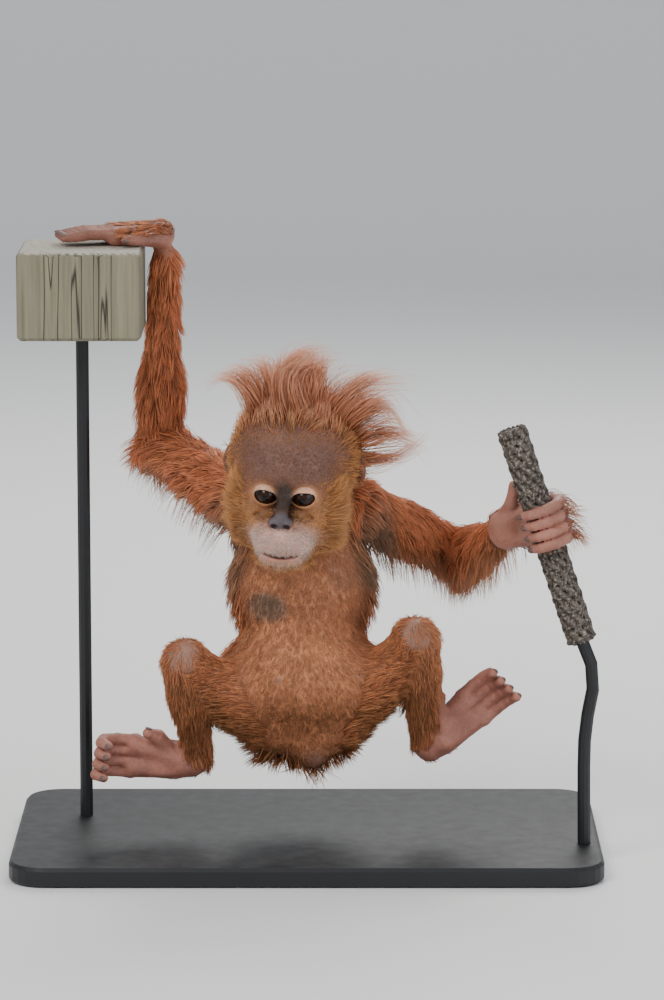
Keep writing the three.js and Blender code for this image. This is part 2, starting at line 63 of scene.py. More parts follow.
def tone(red, green, blue):  # a screen colour, 0 to 255, as linear light
    c = np.array([red, green, blue]) / 255
    return np.where(c < 0.04045, c / 12.92, ((c + 0.055) / 1.055) ** 2.4)


# The camera stands where the photo was taken from and looks a little down.
camera = {
    "aim": (22.5, 0, 320.8),
    "distance": 4000,
    "down": 10,  # degrees
    "frameHeight": 900,  # of the picture, at the aim
    "sensor": 36,
    "farthest": 50,  # metres
}


def makeCamera():
    tilt = math.radians(camera["down"])
    ahead = np.array([0, math.cos(tilt), -math.sin(tilt)])
    data = bpy.data.cameras.new("photoCamera")
    data.sensor_width = camera["sensor"]
    data.lens = camera["sensor"] * camera["distance"] / camera["frameHeight"]
    data.clip_end = camera["farthest"]
    seen = bpy.data.objects.new("photoCamera", data)
    seen.location = (np.array(camera["aim"]) - ahead * camera["distance"]) * metre
    seen.rotation_euler = (math.pi / 2 - tilt, 0, 0)
    bpy.context.scene.collection.objects.link(seen)
    bpy.context.scene.camera = seen


# Soft studio light: a big key high on the left, a fill and a light from behind.
studio = {
    "floor": (0.86, 0.86, 0.85),
    "floorRoughness": 0.7,
    "floorSize": 16,
    "bendStart": 4.2,
    "bendRadius": 1.6,
    "bendSteps": 24,
    "air": (0.86, 0.9, 0.95),
    "airStrength": 0.62,
    "lamps": {
        "keyLamp": {"at": (-1.3, -1.9, 2.6), "size": 1.6, "power": 62, "colour": (1, 0.97, 0.93)},
        "fillLamp": {"at": (2.2, -1.6, 1.2), "size": 2.2, "power": 26, "colour": (0.93, 0.96, 1)},
        "backLamp": {"at": (0.5, 2.0, 2.2), "size": 1.8, "power": 52, "colour": (1, 0.98, 0.95)},
    },
    "lampAim": (0, 0, 0.32),
}


def makeStudio():
    world = bpy.data.worlds.new("studioAir")
    world.use_nodes = True
    air = world.node_tree.nodes["Background"]
    air.inputs["Color"].default_value = (*studio["air"], 1)
    air.inputs["Strength"].default_value = studio["airStrength"]
    bpy.context.scene.world = world
    half, start, bend = studio["floorSize"] / 2, studio["bendStart"], studio["bendRadius"]
    turns = np.linspace(0, math.pi / 2, studio["bendSteps"])
    profile = [(-half, 0)] + [(start + bend * math.sin(t), bend * (1 - math.cos(t))) for t in turns]
    profile.append((start + bend, half))
    corners = [(x, y, z) for y, z in profile for x in (-half, half)]
    strips = [(2 * i, 2 * i + 1, 2 * i + 3, 2 * i + 2) for i in range(len(profile) - 1)]
    mesh = bpy.data.meshes.new("studioFloor")
    mesh.from_pydata(corners, [], strips)
    mesh.polygons.foreach_set("use_smooth", np.ones(len(strips), bool))
    floor = bpy.data.objects.new("studioFloor", mesh)
    bpy.context.scene.collection.objects.link(floor)
    finish = bpy.data.materials.new("floorPaint")
    finish.use_nodes = True
    shader = finish.node_tree.nodes["Principled BSDF"]
    shader.inputs["Base Color"].default_value = (*studio["floor"], 1)
    shader.inputs["Roughness"].default_value = studio["floorRoughness"]
    mesh.materials.append(finish)
    aim = np.array(studio["lampAim"])
    for name, lamp in studio["lamps"].items():
        data = bpy.data.lights.new(name, "AREA")
        data.shape = "DISK"
        data.size = lamp["size"]
        data.energy = lamp["power"]
        data.color = lamp["colour"]
        light = bpy.data.objects.new(name, data)
        light.location = lamp["at"]
        toAim = aim - np.array(lamp["at"])
        side = unit(np.cross(toAim, (0, 0, 1)))
        up = np.cross(side, unit(toAim))
        turn = np.stack([side, up, -unit(toAim)], 1)
        light.rotation_euler = eulerOf(turn)
        bpy.context.scene.collection.objects.link(light)


def eulerOf(turn):
    pitch = math.asin(max(-1, min(1, -turn[2, 0])))
    return (math.atan2(turn[2, 1], turn[2, 2]), pitch, math.atan2(turn[1, 0], turn[0, 0]))


# Shape fields: the distance to a rounded form, negative inside it.
def ballField(p, centre, half):
    half = np.asarray(half, float)
    q = (p - np.asarray(centre, float)) / half
    reach = np.linalg.norm(q, axis=1)
    slope = np.linalg.norm(q / half, axis=1)
    return np.where(slope > 1e-9, reach * (reach - 1) / np.maximum(slope, 1e-9), -half.min())


def coneField(p, start, end, startRadius, endRadius):
    start = np.asarray(start, float)
    axis = np.asarray(end, float) - start
    q = p - start
    share = np.clip(q @ axis / (axis @ axis), 0, 1)
    away = np.linalg.norm(q - share[:, None] * axis, axis=1)
    return away - (startRadius + (endRadius - startRadius) * share)


def blend(a, b, softness):
    overlap = np.maximum(softness - np.abs(a - b), 0) / softness
    return np.minimum(a, b) - overlap * overlap * softness / 4


def carve(a, hollow, softness):
    return -blend(-a, hollow, softness)


def pathField(p, points, radii, softness=2.0):
    d = None
    for i in range(len(points) - 1):
        piece = coneField(p, points[i], points[i + 1], radii[i], radii[i + 1])
        d = piece if d is None else blend(d, piece, softness)
    return d


# The skeleton, and the flesh on it.
joint = {
    "shoulderLeft": (46, 6, 314),
    "elbowLeft": (143, 118, 251),
    "wristLeft": (176, -32, 299),
    "shoulderRight": (-60, 14, 318),
    "elbowRight": (-137, 122, 357),
    "wristRight": (-129, 77, 532),
    "hipLeft": (30, -2, 118),
    "kneeLeft": (97, -56, 204),
    "ankleLeft": (107, -4, 104),
    "hipRight": (-38, -2, 118),
    "kneeRight": (-108, -66, 186),
    "ankleRight": (-99, -10, 88),
}
joint = {name: np.array(spot, float) for name, spot in joint.items()}
armShape = {"flesh": (23, 16.5, 11), "bulge": (19, 17)}
legShape = {"flesh": (24, 18, 12.5), "bulge": (24, 18)}
limbs = {
    "armLeft": {"joints": ("shoulderLeft", "elbowLeft", "wristLeft"), **armShape},
    "armRight": {"joints": ("shoulderRight", "elbowRight", "wristRight"), **armShape},
    "legLeft": {"joints": ("hipLeft", "kneeLeft", "ankleLeft"), **legShape},
    "legRight": {"joints": ("hipRight", "kneeRight", "ankleRight"), **legShape},
}
bulges = {"at": (0.42, 0.3), "longer": 2.1, "softness": 10}  # the muscle of each half of a limb
trunk = {
    "masses": [
        {"centre": (-4, 4, 116), "half": (46, 38, 32)},
        {"centre": (-5, -10, 166), "half": (69, 53, 52)},
        {"centre": (-4, 0, 246), "half": (62, 48, 66)},
        {"centre": (-8, 12, 300), "half": (56, 36, 34)},
        {"centre": (5, -12, 92), "half": (11, 12, 14)},
    ],
    "softness": 18,
    "neck": {"start": (-8, 14, 308), "end": (-12, -16, 344), "radii": (38, 40)},
    "navel": (-26, -66, 168),
    "navelRim": {"height": 1.6, "reach": 4.5, "width": 2.2},
    "navelPit": {"depth": 2.2, "width": 2.6},
    "nipples": [(-36, -52, 262), (30, -50, 262)],
    "nipple": {"height": 1.8, "width": 3.2},
}
head = {"centre": (-12, -40, 355), "yaw": 7, "pitch": 8, "roll": 3}
headMasses = [
    {"centre": (0, 7, 12), "half": (57, 61, 51), "soft": 1},
    {"centre": (0, -36, 1), "half": (43, 22, 20), "soft": 12},
    {"centre": (29, -34, -22), "half": (21, 23, 24), "soft": 12},
    {"centre": (-29, -34, -22), "half": (21, 23, 24), "soft": 12},
    {"centre": (0, -56, -42), "half": (28, 25, 20), "soft": 12},
    {"centre": (0, -50, -60), "half": (25, 22, 14), "soft": 9},
    {"centre": (25, -22, -46), "half": (22, 24, 20), "soft": 12},
    {"centre": (-25, -22, -46), "half": (22, 24, 20), "soft": 12},
]
face = {
    "front": -20,  # the face is ahead of this
    "eye": (16.8, -49, -8),
    "eyeRadius": 10.5,
    "lid": 1.9,
    "lidCrease": {"reach": 13.6, "width": 1.5, "depth": 0.9},
    "aperture": (10.2, 6.2),
    "apertureTilt": 0.08,
    "socket": (19, -62, -7),
    "socketHalf": (13, 9, 9),
    "noseTop": (0, -55, -6),
    "noseTip": (0, -74, -22),
    "noseRadii": (5, 6),
    "wing": (6.4, -76, -25.5),
    "wingHalf": (5.6, 5.5, 5),
    "nostril": (5.6, -81.5, -27.5),
    "nostrilHalf": (3.3, 5, 2.6),
    "creases": [  # start, end, both radii and softness
        ((4, -63, -14), (12, -70, -27), 1.2, 1.6, 3),
        ((12, -70, -27), (22, -66, -36), 1.6, 1.0, 4),
        ((9.5, -59, -16), (25, -56, -25), 1.1, 0.8, 3),
    ],
    "mouthHeight": -57.5,
    "mouthRise": 2.2,
    "mouthHalf": 15.5,
    "lowerLip": (14, -69, -62.5),
    "lipRadii": (5.2, 4),
}
ear = {
    "centre": (58, 14, 2),
    "half": (5, 9.5, 14),
    "turn": 0.5,
    "bowl": (4.5, -1, 1),
    "bowlHalf": (4.2, 6.2, 9.5),
}


def turnOf(yaw, pitch, roll):
    y, p, r = math.radians(-yaw), math.radians(pitch), math.radians(roll)
    around = np.array([[math.cos(y), -math.sin(y), 0], [math.sin(y), math.cos(y), 0], [0, 0, 1]])
    nod = np.array([[1, 0, 0], [0, math.cos(p), -math.sin(p)], [0, math.sin(p), math.cos(p)]])
    lean = np.array([[math.cos(r), 0, math.sin(r)], [0, 1, 0], [-math.sin(r), 0, math.cos(r)]])
    return around @ lean @ nod


headTurn = turnOf(head["yaw"], head["pitch"], head["roll"])
headCentre = np.array(head["centre"], float)


def toHead(p):
    return (p - headCentre) @ headTurn


def fromHead(q):
    return np.asarray(q, float) @ headTurn.T + headCentre


def halfHead(p):  # as toHead, with the right half laid over the left
    m = toHead(p)
    m[:, 0] = np.abs(m[:, 0])
    return m


# Hands and feet: frames of [out, thumb side, palm], as rows.
def handFrame(place, out, palm, side):
    x = unit(out)
    y = unit(np.cross(palm, x))
    return {"place": np.array(place, float), "axes": np.array([x, y * side, np.cross(x, y)])}


def placed(hand, points):
    return np.asarray(points, float) @ hand["axes"] + hand["place"]


def within(hand, p):
    return (p - hand["place"]) @ hand["axes"].T


rope = {"radius": 14, "top": (181, -65, 395), "bottom": (245, -60, 205)}
ropeTop, ropeBottom = np.array(rope["top"], float), np.array(rope["bottom"], float)
ropeDown = unit(ropeBottom - ropeTop)
digitRows = [step * 10.4 for step in (1.5, 0.5, -0.5, -1.5)]
fingerRadii = (5.3, 5.1, 4.8, 4.5, 3.6)
thumbRadii = (6, 5.2, 3.8)
toeRadii = (5.2, 5.2, 4.9, 4.7, 3.9)
halluxRadii = (7.2, 6.6, 5)
palm = {"length": 44, "thickness": 8.5, "wrist": 10.5, "gather": 0.45, "hollow": ((24, 0, 15), (17, 12, 9))}
soleHollow = ((16, -2, 17), (16, 9, 8))
digitCrease = {"depth": 0.35, "reach": 7, "width": 2.2}
grip = {
    "knuckleTurn": 72,
    "knuckleGap": 2.5,
    "digitGap": 5.6,
    "turns": (72, 38, 5, -35, -75, -112, -142),
    "slack": (3, 1, 0.4, 0.2, 0, 0, 0),
}
flatHand = {
    "place": (-133, 73, 552.5),
    "out": (-1, -0.22, 0.02),
    "finger": [(42, 0), (54, -2), (68, -2), (80, 0), (91, 1.2)],
}
thumbs = {
    "gripping": [(8, 16, 2), (15, 23, 7), (20, 31, 10), (23, 39, 11)],
    "flat": [(8, 16, 0), (18, 25, 1), (29, 31, 1.4), (38, 33, 1.4)],
}
feet = {
    "Left": {
        "place": (123, -10, 106),
        "out": (0.72, 0, 0.69),
        "sole": (0, -1, -0.1),
        "side": 1,
        "toe": [(38, 0), (52, 1), (64, 5), (72, 12), (75, 20)],
        "hallux": [(10, 15, 2), (16, 24, 6), (24, 30, 10)],
    },
    "Right": {
        "place": (-121, -18, 84),
        "out": (-0.97, -0.1, 0.15),
        "sole": (0, -1, -0.15),
        "side": -1,
        "toe": [(38, 0), (54, 2), (66, 8), (69, 17), (62, 23)],
        "hallux": [(10, 15, 2), (18, 24, 6), (28, 28, 11)],
    },
}
soleMasses = [
    ((-16, 0, -4), (4, 0, -3), (14, 13)),
    ((0, 4, -3), (36, 11, 0), (13, 9)),
    ((0, -4, -3), (36, -11, 0), (13, 9)),
]

wristLeft = joint["wristLeft"]
gripCentre = ropeTop + ropeDown * ((wristLeft - ropeTop) @ ropeDown)
acrossRope = unit(np.cross((0, -1, 0), ropeDown))
behindRope = unit(np.cross(acrossRope, ropeDown))


def aroundRope(reach, degrees, row):
    turn = math.radians(degrees)
    spoke = acrossRope * math.cos(turn) + behindRope * math.sin(turn)
    return gripCentre + spoke * reach - ropeDown * row


def makeHands():
    knuckleReach = rope["radius"] + palm["thickness"] + grip["knuckleGap"]
    knuckles = aroundRope(knuckleReach, grip["knuckleTurn"], 0)
    left = handFrame(wristLeft, knuckles - wristLeft, (0, -1, 0), 1)
    reach = rope["radius"] + grip["digitGap"]
    bends = list(zip(grip["turns"], grip["slack"]))
    left["digits"] = [
        ([aroundRope(reach + slack, turn, row) for turn, slack in bends], spread(fingerRadii, len(bends)))
        for row in digitRows
    ]
    left["digits"].append((placed(left, thumbs["gripping"]), spread(thumbRadii, 4)))
    right = handFrame(flatHand["place"], flatHand["out"], (0, 0, -1), -1)
    right["digits"] = [
        (placed(right, [(out, row, bend) for out, bend in flatHand["finger"]]), fingerRadii)
        for row in digitRows
    ]
    right["digits"].append((placed(right, thumbs["flat"]), spread(thumbRadii, 4)))
    return {"handLeft": left, "handRight": right}


def makeFeet():
    made = {}
    for side, shape in feet.items():
        foot = handFrame(shape["place"], shape["out"], shape["sole"], shape["side"])
        foot["digits"] = [
            (placed(foot, [(out, row, bend) for out, bend in shape["toe"]]), toeRadii) for row in digitRows
        ]
        foot["digits"].append((placed(foot, shape["hallux"]), halluxRadii))
        made["foot" + side] = foot
    return made


def spread(values, count):
    return np.interp(np.linspace(0, len(values) - 1, count), range(len(values)), values)


hands = makeHands()
footShapes = makeFeet()
handsAndFeet = {**hands, **footShapes}


def palmField(hand, p):
    q = within(hand, p)
    d = None
    for row in digitRows:
        start, end = (0, row * palm["gather"], 0), (palm["length"], row, 0)
        bone = coneField(q, start, end, palm["wrist"], palm["thickness"])
        d = bone if d is None else blend(d, bone, 6)
    return carve(d, ballField(q, *palm["hollow"]), 5)


def soleField(foot, p):
    q = within(foot, p)
    d = None
    for start, end, radii in soleMasses:
        bone = coneField(q, start, end, *radii)
        d = bone if d is None else blend(d, bone, 8)
    return carve(d, ballField(q, *soleHollow), 6)


def digitsField(shape, p, base):
    digits = None
    for points, radii in shape["digits"]:
        one = pathField(p, points, radii, 1.2)
        for knuckle in points[2:-1]:
            away = np.linalg.norm(p - knuckle, axis=1)
            one = one - digitCrease["depth"] * hump(away, digitCrease["reach"], digitCrease["width"])
        digits = one if digits is None else blend(digits, one, 0.7)
    return blend(base, digits, 4)


def limbField(limb, p):
    a, b, c = (joint[name] for name in limb["joints"])
    first, middle, last = limb["flesh"]
    d = coneField(p, a, b, first, middle)
    d = blend(d, coneField(p, b, c, middle, last), bulges["softness"])
    for start, end, share, radius in zip((a, b), (b, c), bulges["at"], limb["bulge"]):
        muscle = ballAlong(p, start + (end - start) * share, end - start, radius)
        d = blend(d, muscle, bulges["softness"])
    return d


def ballAlong(p, centre, axis, radius):
    axis = unit(axis)
    q = p - centre
    along = q @ axis
    across = np.linalg.norm(q - along[:, None] * axis, axis=1)
    flat = np.stack([along, across], 1)
    half = np.array([radius * bulges["longer"], radius])
    reach = np.linalg.norm(flat / half, axis=1)
    slope = np.linalg.norm(flat / half**2, axis=1)
    return reach * (reach - 1) / np.maximum(slope, 1e-6)


def trunkField(p):
    d = None
    for mass in trunk["masses"]:
        one = ballField(p, mass["centre"], mass["half"])
        d = one if d is None else blend(d, one, trunk["softness"])
    rim, pit, nipple = trunk["navelRim"], trunk["navelPit"], trunk["nipple"]
    away = np.linalg.norm(p - np.array(trunk["navel"]), axis=1)
    d = d - rim["height"] * hump(away, rim["reach"], rim["width"])
    d = d + pit["depth"] * hump(away, 0, pit["width"])
    for spot in trunk["nipples"]:
        away = np.linalg.norm(p - np.array(spot), axis=1)
        d = d - nipple["height"] * hump(away, 0, nipple["width"])
    return d


def neckField(p):
    neck = trunk["neck"]
    return coneField(p, neck["start"], neck["end"], *neck["radii"])


def headField(p):
    q = toHead(p)
    d = None
    for mass in headMasses:
        one = ballField(q, mass["centre"], mass["half"])
        d = one if d is None else blend(d, one, mass["soft"])
    half = q.copy()
    half[:, 0] = np.abs(q[:, 0])
    near = np.flatnonzero(q[:, 1] < face["front"])
    if len(near):
        d[near] = faceField(half[near], d[near])
    return d


def mouthLine(m):
    return face["mouthHeight"] + face["mouthRise"] * (m[:, 0] / face["mouthHalf"]) ** 2


def faceField(m, d):
    radius = face["eyeRadius"]
    away = m - np.array(face["eye"], float)
    d = carve(d, ballField(m, face["socket"], face["socketHalf"]), 7)
    d = blend(d, np.linalg.norm(away, axis=1) - (radius + face["lid"]), 3.5)
    crease = face["lidCrease"]
    ringed = np.hypot(away[:, 0], away[:, 2] * 1.25)
    ahead = ramp(-away[:, 1], 2, 8)
    d = d + ahead * crease["depth"] * hump(ringed, crease["reach"], crease["width"])
    d = blend(d, coneField(m, face["noseTop"], face["noseTip"], *face["noseRadii"]), 6)
    d = blend(d, ballField(m, face["wing"], face["wingHalf"]), 3)
    d = carve(d, ballField(m, face["nostril"], face["nostrilHalf"]), 1.5)
    for start, end, startRadius, endRadius, softness in face["creases"]:
        d = carve(d, coneField(m, start, end, startRadius, endRadius), softness)
    lip = face["lowerLip"]
    d = blend(d, coneField(m, (0, lip[1] - 2, lip[2]), lip, *face["lipRadii"]), 4)
    half = face["mouthHalf"]
    onLips = (1 - ramp(m[:, 0], half - 3, half + 3)) * (m[:, 1] < -40)
    overLine = m[:, 2] - mouthLine(m)
    d = d + onLips * (2.0 * hump(overLine, 0, 1.3) - 0.7 * hump(overLine, -3, 1.8))
    across, upward = away[:, 0], away[:, 2] - face["apertureTilt"] * away[:, 0]
    wide, high = face["aperture"]
    almond = (np.hypot(across / wide, upward / high) - 1) * high
    opening = np.maximum(almond, away[:, 1] + 2)
    d = carve(d, opening, 0.9)
    return np.maximum(d, -(np.linalg.norm(away, axis=1) - radius - 0.15))


def earCentre(side):
    return np.array(ear["centre"]) * (side, 1, 1)


def earField(p, side):
    q = toHead(p)
    c, s = math.cos(side * ear["turn"]), math.sin(side * ear["turn"])
    q = q - earCentre(side)
    q = np.stack([q[:, 0] * c + q[:, 1] * s, -q[:, 0] * s + q[:, 1] * c, q[:, 2]], 1)
    shell = ballField(q, (0, 0, 0), ear["half"])
    bowl = ballField(q, np.array(ear["bowl"]) * (side, 1, 1), ear["bowlHalf"])
    return carve(shell, bowl, 1.5)


def boxOf(points, margin):
    points = np.asarray(points, float)
    return points.min(0) - margin, points.max(0) + margin


def makeParts():
    parts = {}

    def add(name, field, points, margin, softness):
        low, high = boxOf(points, margin)
        parts[name] = {"field": field, "low": low, "high": high, "softness": softness}

    add("trunk", trunkField, [(-75, -64, 70), (66, 52, 338)], margin=0, softness=1)
    add("neck", neckField, [trunk["neck"]["start"], trunk["neck"]["end"]], margin=42, softness=16)
    for name, limb in limbs.items():
        ends = [joint[j] for j in limb["joints"]]
        add(name, lambda p, limb=limb: limbField(limb, p), ends, margin=27, softness=17)
    add("head", headField, [headCentre], margin=92, softness=10)
    for side, name in ((1, "earLeft"), (-1, "earRight")):
        own = lambda p, side=side: earField(p, side)
        add(name, own, [fromHead(earCentre(side))], margin=17, softness=3)
    for name, hand in hands.items():
        spots = np.concatenate([placed(hand, [(0, 0, 0)])] + [np.array(d[0]) for d in hand["digits"]])
        own = lambda p, hand=hand: digitsField(hand, p, palmField(hand, p))
        add(name, own, spots, margin=16, softness=7)
    for name, foot in footShapes.items():
        spots = np.concatenate([placed(foot, [(-16, 0, 0)])] + [np.array(d[0]) for d in foot["digits"]])
        own = lambda p, foot=foot: digitsField(foot, p, soleField(foot, p))
        add(name, own, spots, margin=20, softness=8)
    return parts


bodyParts = makeParts()
farAway = 60.0  # the distance given to a part that isn't near
nearEdge = 20


def partDistances(p):
    apart = {}
    for name, part in bodyParts.items():
        near = np.all((p > part["low"] - nearEdge) & (p < part["high"] + nearEdge), axis=1)
        own = np.full(len(p), farAway)
        if near.any():
            own[near] = part["field"](p[near])
        apart[name] = own
    return apart


def bodyField(p):
    d = np.full(len(p), farAway)
    for name, own in partDistances(p).items():
        d = blend(d, own, bodyParts[name]["softness"])
    return d


def inChunks(field, p, size=400000):
    return np.concatenate([field(p[i : i + size]) for i in range(0, len(p), size)])


def slopeOf(p, reach=0.4):
    axes = np.eye(3) * reach
    return unit(np.stack([inChunks(bodyField, p + a) - inChunks(bodyField, p - a) for a in axes], 1))


# The surface of a field, found block by block where the body's surface passes.
def surfaceOf(field, low, high, step):
    n = 10  # cells across a block
    halfDiagonal = 0.87  # of a block, over its side
    size = step * n
    counts = np.ceil((high - low) / size).astype(int)
    blocks = np.stack(np.meshgrid(*[np.arange(c) for c in counts], indexing="ij"), -1).reshape(-1, 3)
    nearness = inChunks(field, low + (blocks + 0.5) * size)
    blocks = blocks[np.abs(nearness) < size * halfDiagonal + 4]
    line = np.arange(n + 1)
    local = np.stack(np.meshgrid(line, line, line, indexing="ij"), -1).reshape(-1, 3)
    lattice = (blocks[:, None, :] * n + local[None]).reshape(-1, 3)
    values = inChunks(field, low + lattice * step).reshape(len(blocks), n + 1, n + 1, n + 1)
    inside = values < 0
    corners = [(i, j, k) for i in (0, 1) for j in (0, 1) for k in (0, 1)]

    def cornerOf(grid, c):
        return grid[:, c[0] : n + c[0], c[1] : n + c[1], c[2] : n + c[2]]

    filled = sum(cornerOf(inside, c).astype(np.int8) for c in corners)
    b, i, j, k = np.nonzero((filled > 0) & (filled < 8))
    total, crossings = np.zeros((len(b), 3)), np.zeros(len(b))
    for c in corners:
        for axis in range(3):
            if c[axis]:
                continue
            e = list(c)
            e[axis] = 1
            start = values[b, i + c[0], j + c[1], k + c[2]]
            end = values[b, i + e[0], j + e[1], k + e[2]]
            crossed = (start < 0) != (end < 0)
            share = np.where(crossed, start / np.where(crossed, start - end, 1), 0)
            spot = np.tile(np.array(c, float), (len(b), 1))
            spot[:, axis] += share
            total += spot * crossed[:, None]
            crossings += crossed
    cell = blocks[b] * n + np.stack([i, j, k], 1)
    points = low + (cell + total / crossings[:, None]) * step
    rows = counts * n + 2
    strides = np.array([rows[1] * rows[2], rows[2], 1])
    number = cell @ strides
    order = np.argsort(number)
    sortedNumber = number[order]
    quads = []
    for axis in range(3):
        start = cornerOf(inside, (0, 0, 0))
        ahead = [0, 0, 0]
        ahead[axis] = 1
        end = cornerOf(inside, ahead)
        b, i, j, k = np.nonzero(start != end)
        here = (blocks[b] * n + np.stack([i, j, k], 1)) @ strides
        u, v = strides[(axis + 1) % 3], strides[(axis + 2) % 3]
        ring = np.stack([here, here - u, here - u - v, here - v], 1)
        found = np.searchsorted(sortedNumber, ring.ravel())
        found = order[np.minimum(found, len(order) - 1)].reshape(-1, 4)
        outward = start[b, i, j, k]
        found[~outward] = found[~outward][:, ::-1]
        quads.append(found)
    return points, np.concatenate(quads)


def newObject(name, points, faces, smooth=True):
    faces = np.asarray(faces)
    mesh = bpy.data.meshes.new(name)
    mesh.vertices.add(len(points))
    mesh.vertices.foreach_set("co", (np.asarray(points) * metre).astype(np.float32).ravel())
    mesh.loops.add(faces.size)
    mesh.loops.foreach_set("vertex_index", faces.astype(np.int32).ravel())
    mesh.polygons.add(len(faces))
    mesh.polygons.foreach_set("loop_start", np.arange(0, faces.size, faces.shape[1], dtype=np.int32))
    mesh.polygons.foreach_set("use_smooth", np.full(len(faces), smooth))
    mesh.update(calc_edges=True)
    made = bpy.data.objects.new(name, mesh)
    bpy.context.scene.collection.objects.link(made)
    return made


def pointsOf(thing):
    flat = np.empty(len(thing.data.vertices) * 3, np.float32)
    thing.data.vertices.foreach_get("co", flat)
    return flat.reshape(-1, 3).astype(float) / metre


def paint(thing, name, colours):
    layer = thing.data.color_attributes.new(name, "FLOAT_COLOR", "POINT")
    flat = np.ones((len(colours), 4), np.float32)
    flat[:, :3] = colours
    layer.data.foreach_set("color", flat.ravel())


def bakeModifiers(thing):
    seen = thing.evaluated_get(bpy.context.evaluated_depsgraph_get())
    mesh = bpy.data.meshes.new_from_object(seen)
    thing.modifiers.clear()
    thing.data = mesh
    mesh.name = thing.name


# The skin is one mesh, finest on the face, the hands and the feet.
skin = {
    "step": 1.2,
    "margin": 4,
    "mostTriangles": 190000,
    "fineParts": ("handLeft", "handRight", "footLeft", "footRight", "head"),
    "fineWithin": 2,
    "faceFrom": -25,
}


def makeSkin():
    low = np.min([part["low"] for part in bodyParts.values()], 0) - skin["margin"]
    high = np.max([part["high"] for part in bodyParts.values()], 0) + skin["margin"]
    points, quads = surfaceOf(bodyField, low, high, skin["step"])
    lift = inChunks(bodyField, points)
    points = points - slopeOf(points) * np.clip(lift, -1, 1)[:, None]
    made = newObject("orangutanSkin", points, quads)
    count = 2 * len(quads)
    if count > skin["mostTriangles"]:
        apart = partDistances(points)
        fine = np.min([apart[n] for n in skin["fineParts"]], 0) < skin["fineWithin"]
        fine &= (toHead(points)[:, 1] < skin["faceFrom"]) | (apart["head"] > 4)
        group = made.vertex_groups.new(name="coarse")
        group.add(np.flatnonzero(~fine).tolist(), 1.0, "REPLACE")
        thin = made.modifiers.new("thin", "DECIMATE")
        thin.ratio = skin["mostTriangles"] / count
        thin.vertex_group = "coarse"
        thin.vertex_group_factor = 1.0
        bakeModifiers(made)
        made.data.polygons.foreach_set("use_smooth", np.ones(len(made.data.polygons), bool))
    print("skin:", len(made.data.vertices), "points from", len(points))
    return made


# Adds and wires a tree's nodes: at0, at1 and so on are sockets by number, other names are sockets by name.
def toolsFor(tree):
    def wire(value, socket):
        if isinstance(value, bpy.types.NodeSocket):
            tree.links.new(value, socket)
        else:
            socket.default_value = value

    def add(kind, settings=None, **inputs):
        node = tree.nodes.new(kind)
        for key, value in (settings or {}).items():
            setattr(node, key, value)
        for key, value in inputs.items():
            which = int(key[2:]) if key.startswith("at") else key.replace("_", " ")
            wire(value, node.inputs[which])
        return node

    return add, wire


def newMaterial(name, fixed):
    made = bpy.data.materials.new(name)
    made.use_nodes = True
    shader = made.node_tree.nodes["Principled BSDF"]
    for socket, value in fixed.items():
        shader.inputs[socket].default_value = value
    return made, shader, *toolsFor(made.node_tree)


def coordsOf(add):
    return add("ShaderNodeTexCoord").outputs["Object"]


def paintOf(add, name, output="Color"):
    return add("ShaderNodeAttribute", {"attribute_name": name}).outputs[output]


def addBump(add, wire, shader, finish, height):
    bump = add("ShaderNodeBump", Strength=finish["bump"], Distance=finish["bumpDepth"], Height=height)
    wire(bump.outputs[0], shader.inputs["Normal"])


def noiseOf(add, coords, scale, detail=3, rough=0.55, stretch=None):
    if stretch:
        coords = add("ShaderNodeMapping", Vector=coords, Scale=stretch).outputs[0]
    return add("ShaderNodeTexNoise", Vector=coords, Scale=scale, Detail=detail, Roughness=rough).outputs[0]


def between(add, factor, low, high):
    return add("ShaderNodeMapRange", Value=factor, at1=0.3, at2=0.7, at3=low, at4=high).outputs[0]


def scaledColour(add, colour, factor):
    grey = add("ShaderNodeCombineColor", Red=factor, Green=factor, Blue=factor).outputs[0]
    settings = {"data_type": "RGBA", "blend_type": "MULTIPLY"}
    return add("ShaderNodeMix", settings, at0=1.0, at6=colour, at7=grey).outputs[2]


def mixedColour(add, factor, a, b):
    a, b = (c if isinstance(c, bpy.types.NodeSocket) else (*c, 1) for c in (a, b))
    return add("ShaderNodeMix", {"data_type": "RGBA"}, at0=factor, at6=a, at7=b).outputs[2]


skinFinish = {
    "roughness": (0.44, 0.64),
    "poreScale": 900,
    "creaseScale": 330,
    "creaseWidth": 0.12,
    "bump": 0.32,
    "bumpDepth": 0.0006,
    "fixed": {
        "Specular IOR Level": 0.4,
        "Subsurface Weight": 0.12,
        "Subsurface Radius": (0.004, 0.0016, 0.0009),
    },
}


def skinMaterial():
    made, shader, add, wire = newMaterial("orangutanSkin", skinFinish["fixed"])
    coords = coordsOf(add)
    blotch = between(add, noiseOf(add, coords, 60, 5), 0.74, 1.16)
    freckle = between(add, noiseOf(add, coords, 420, 2), 0.9, 1.08)
    tint = scaledColour(add, paintOf(add, "skinTone"), blotch)
    wire(scaledColour(add, tint, freckle), shader.inputs["Base Color"])
    pores = noiseOf(add, coords, skinFinish["poreScale"], 2)
    edges = {"feature": "DISTANCE_TO_EDGE"}
    cells = add("ShaderNodeTexVoronoi", edges, Vector=coords, Scale=skinFinish["creaseScale"])
    edge = cells.outputs["Distance"]
    creases = add("ShaderNodeMapRange", Value=edge, at1=0.0, at2=skinFinish["creaseWidth"]).outputs[0]
    both = add("ShaderNodeMath", {"operation": "MULTIPLY_ADD"}, at0=pores, at1=0.5, at2=creases).outputs[0]
    addBump(add, wire, shader, skinFinish, both)
    wire(between(add, noiseOf(add, coords, 160), *skinFinish["roughness"]), shader.inputs["Roughness"])
    return made


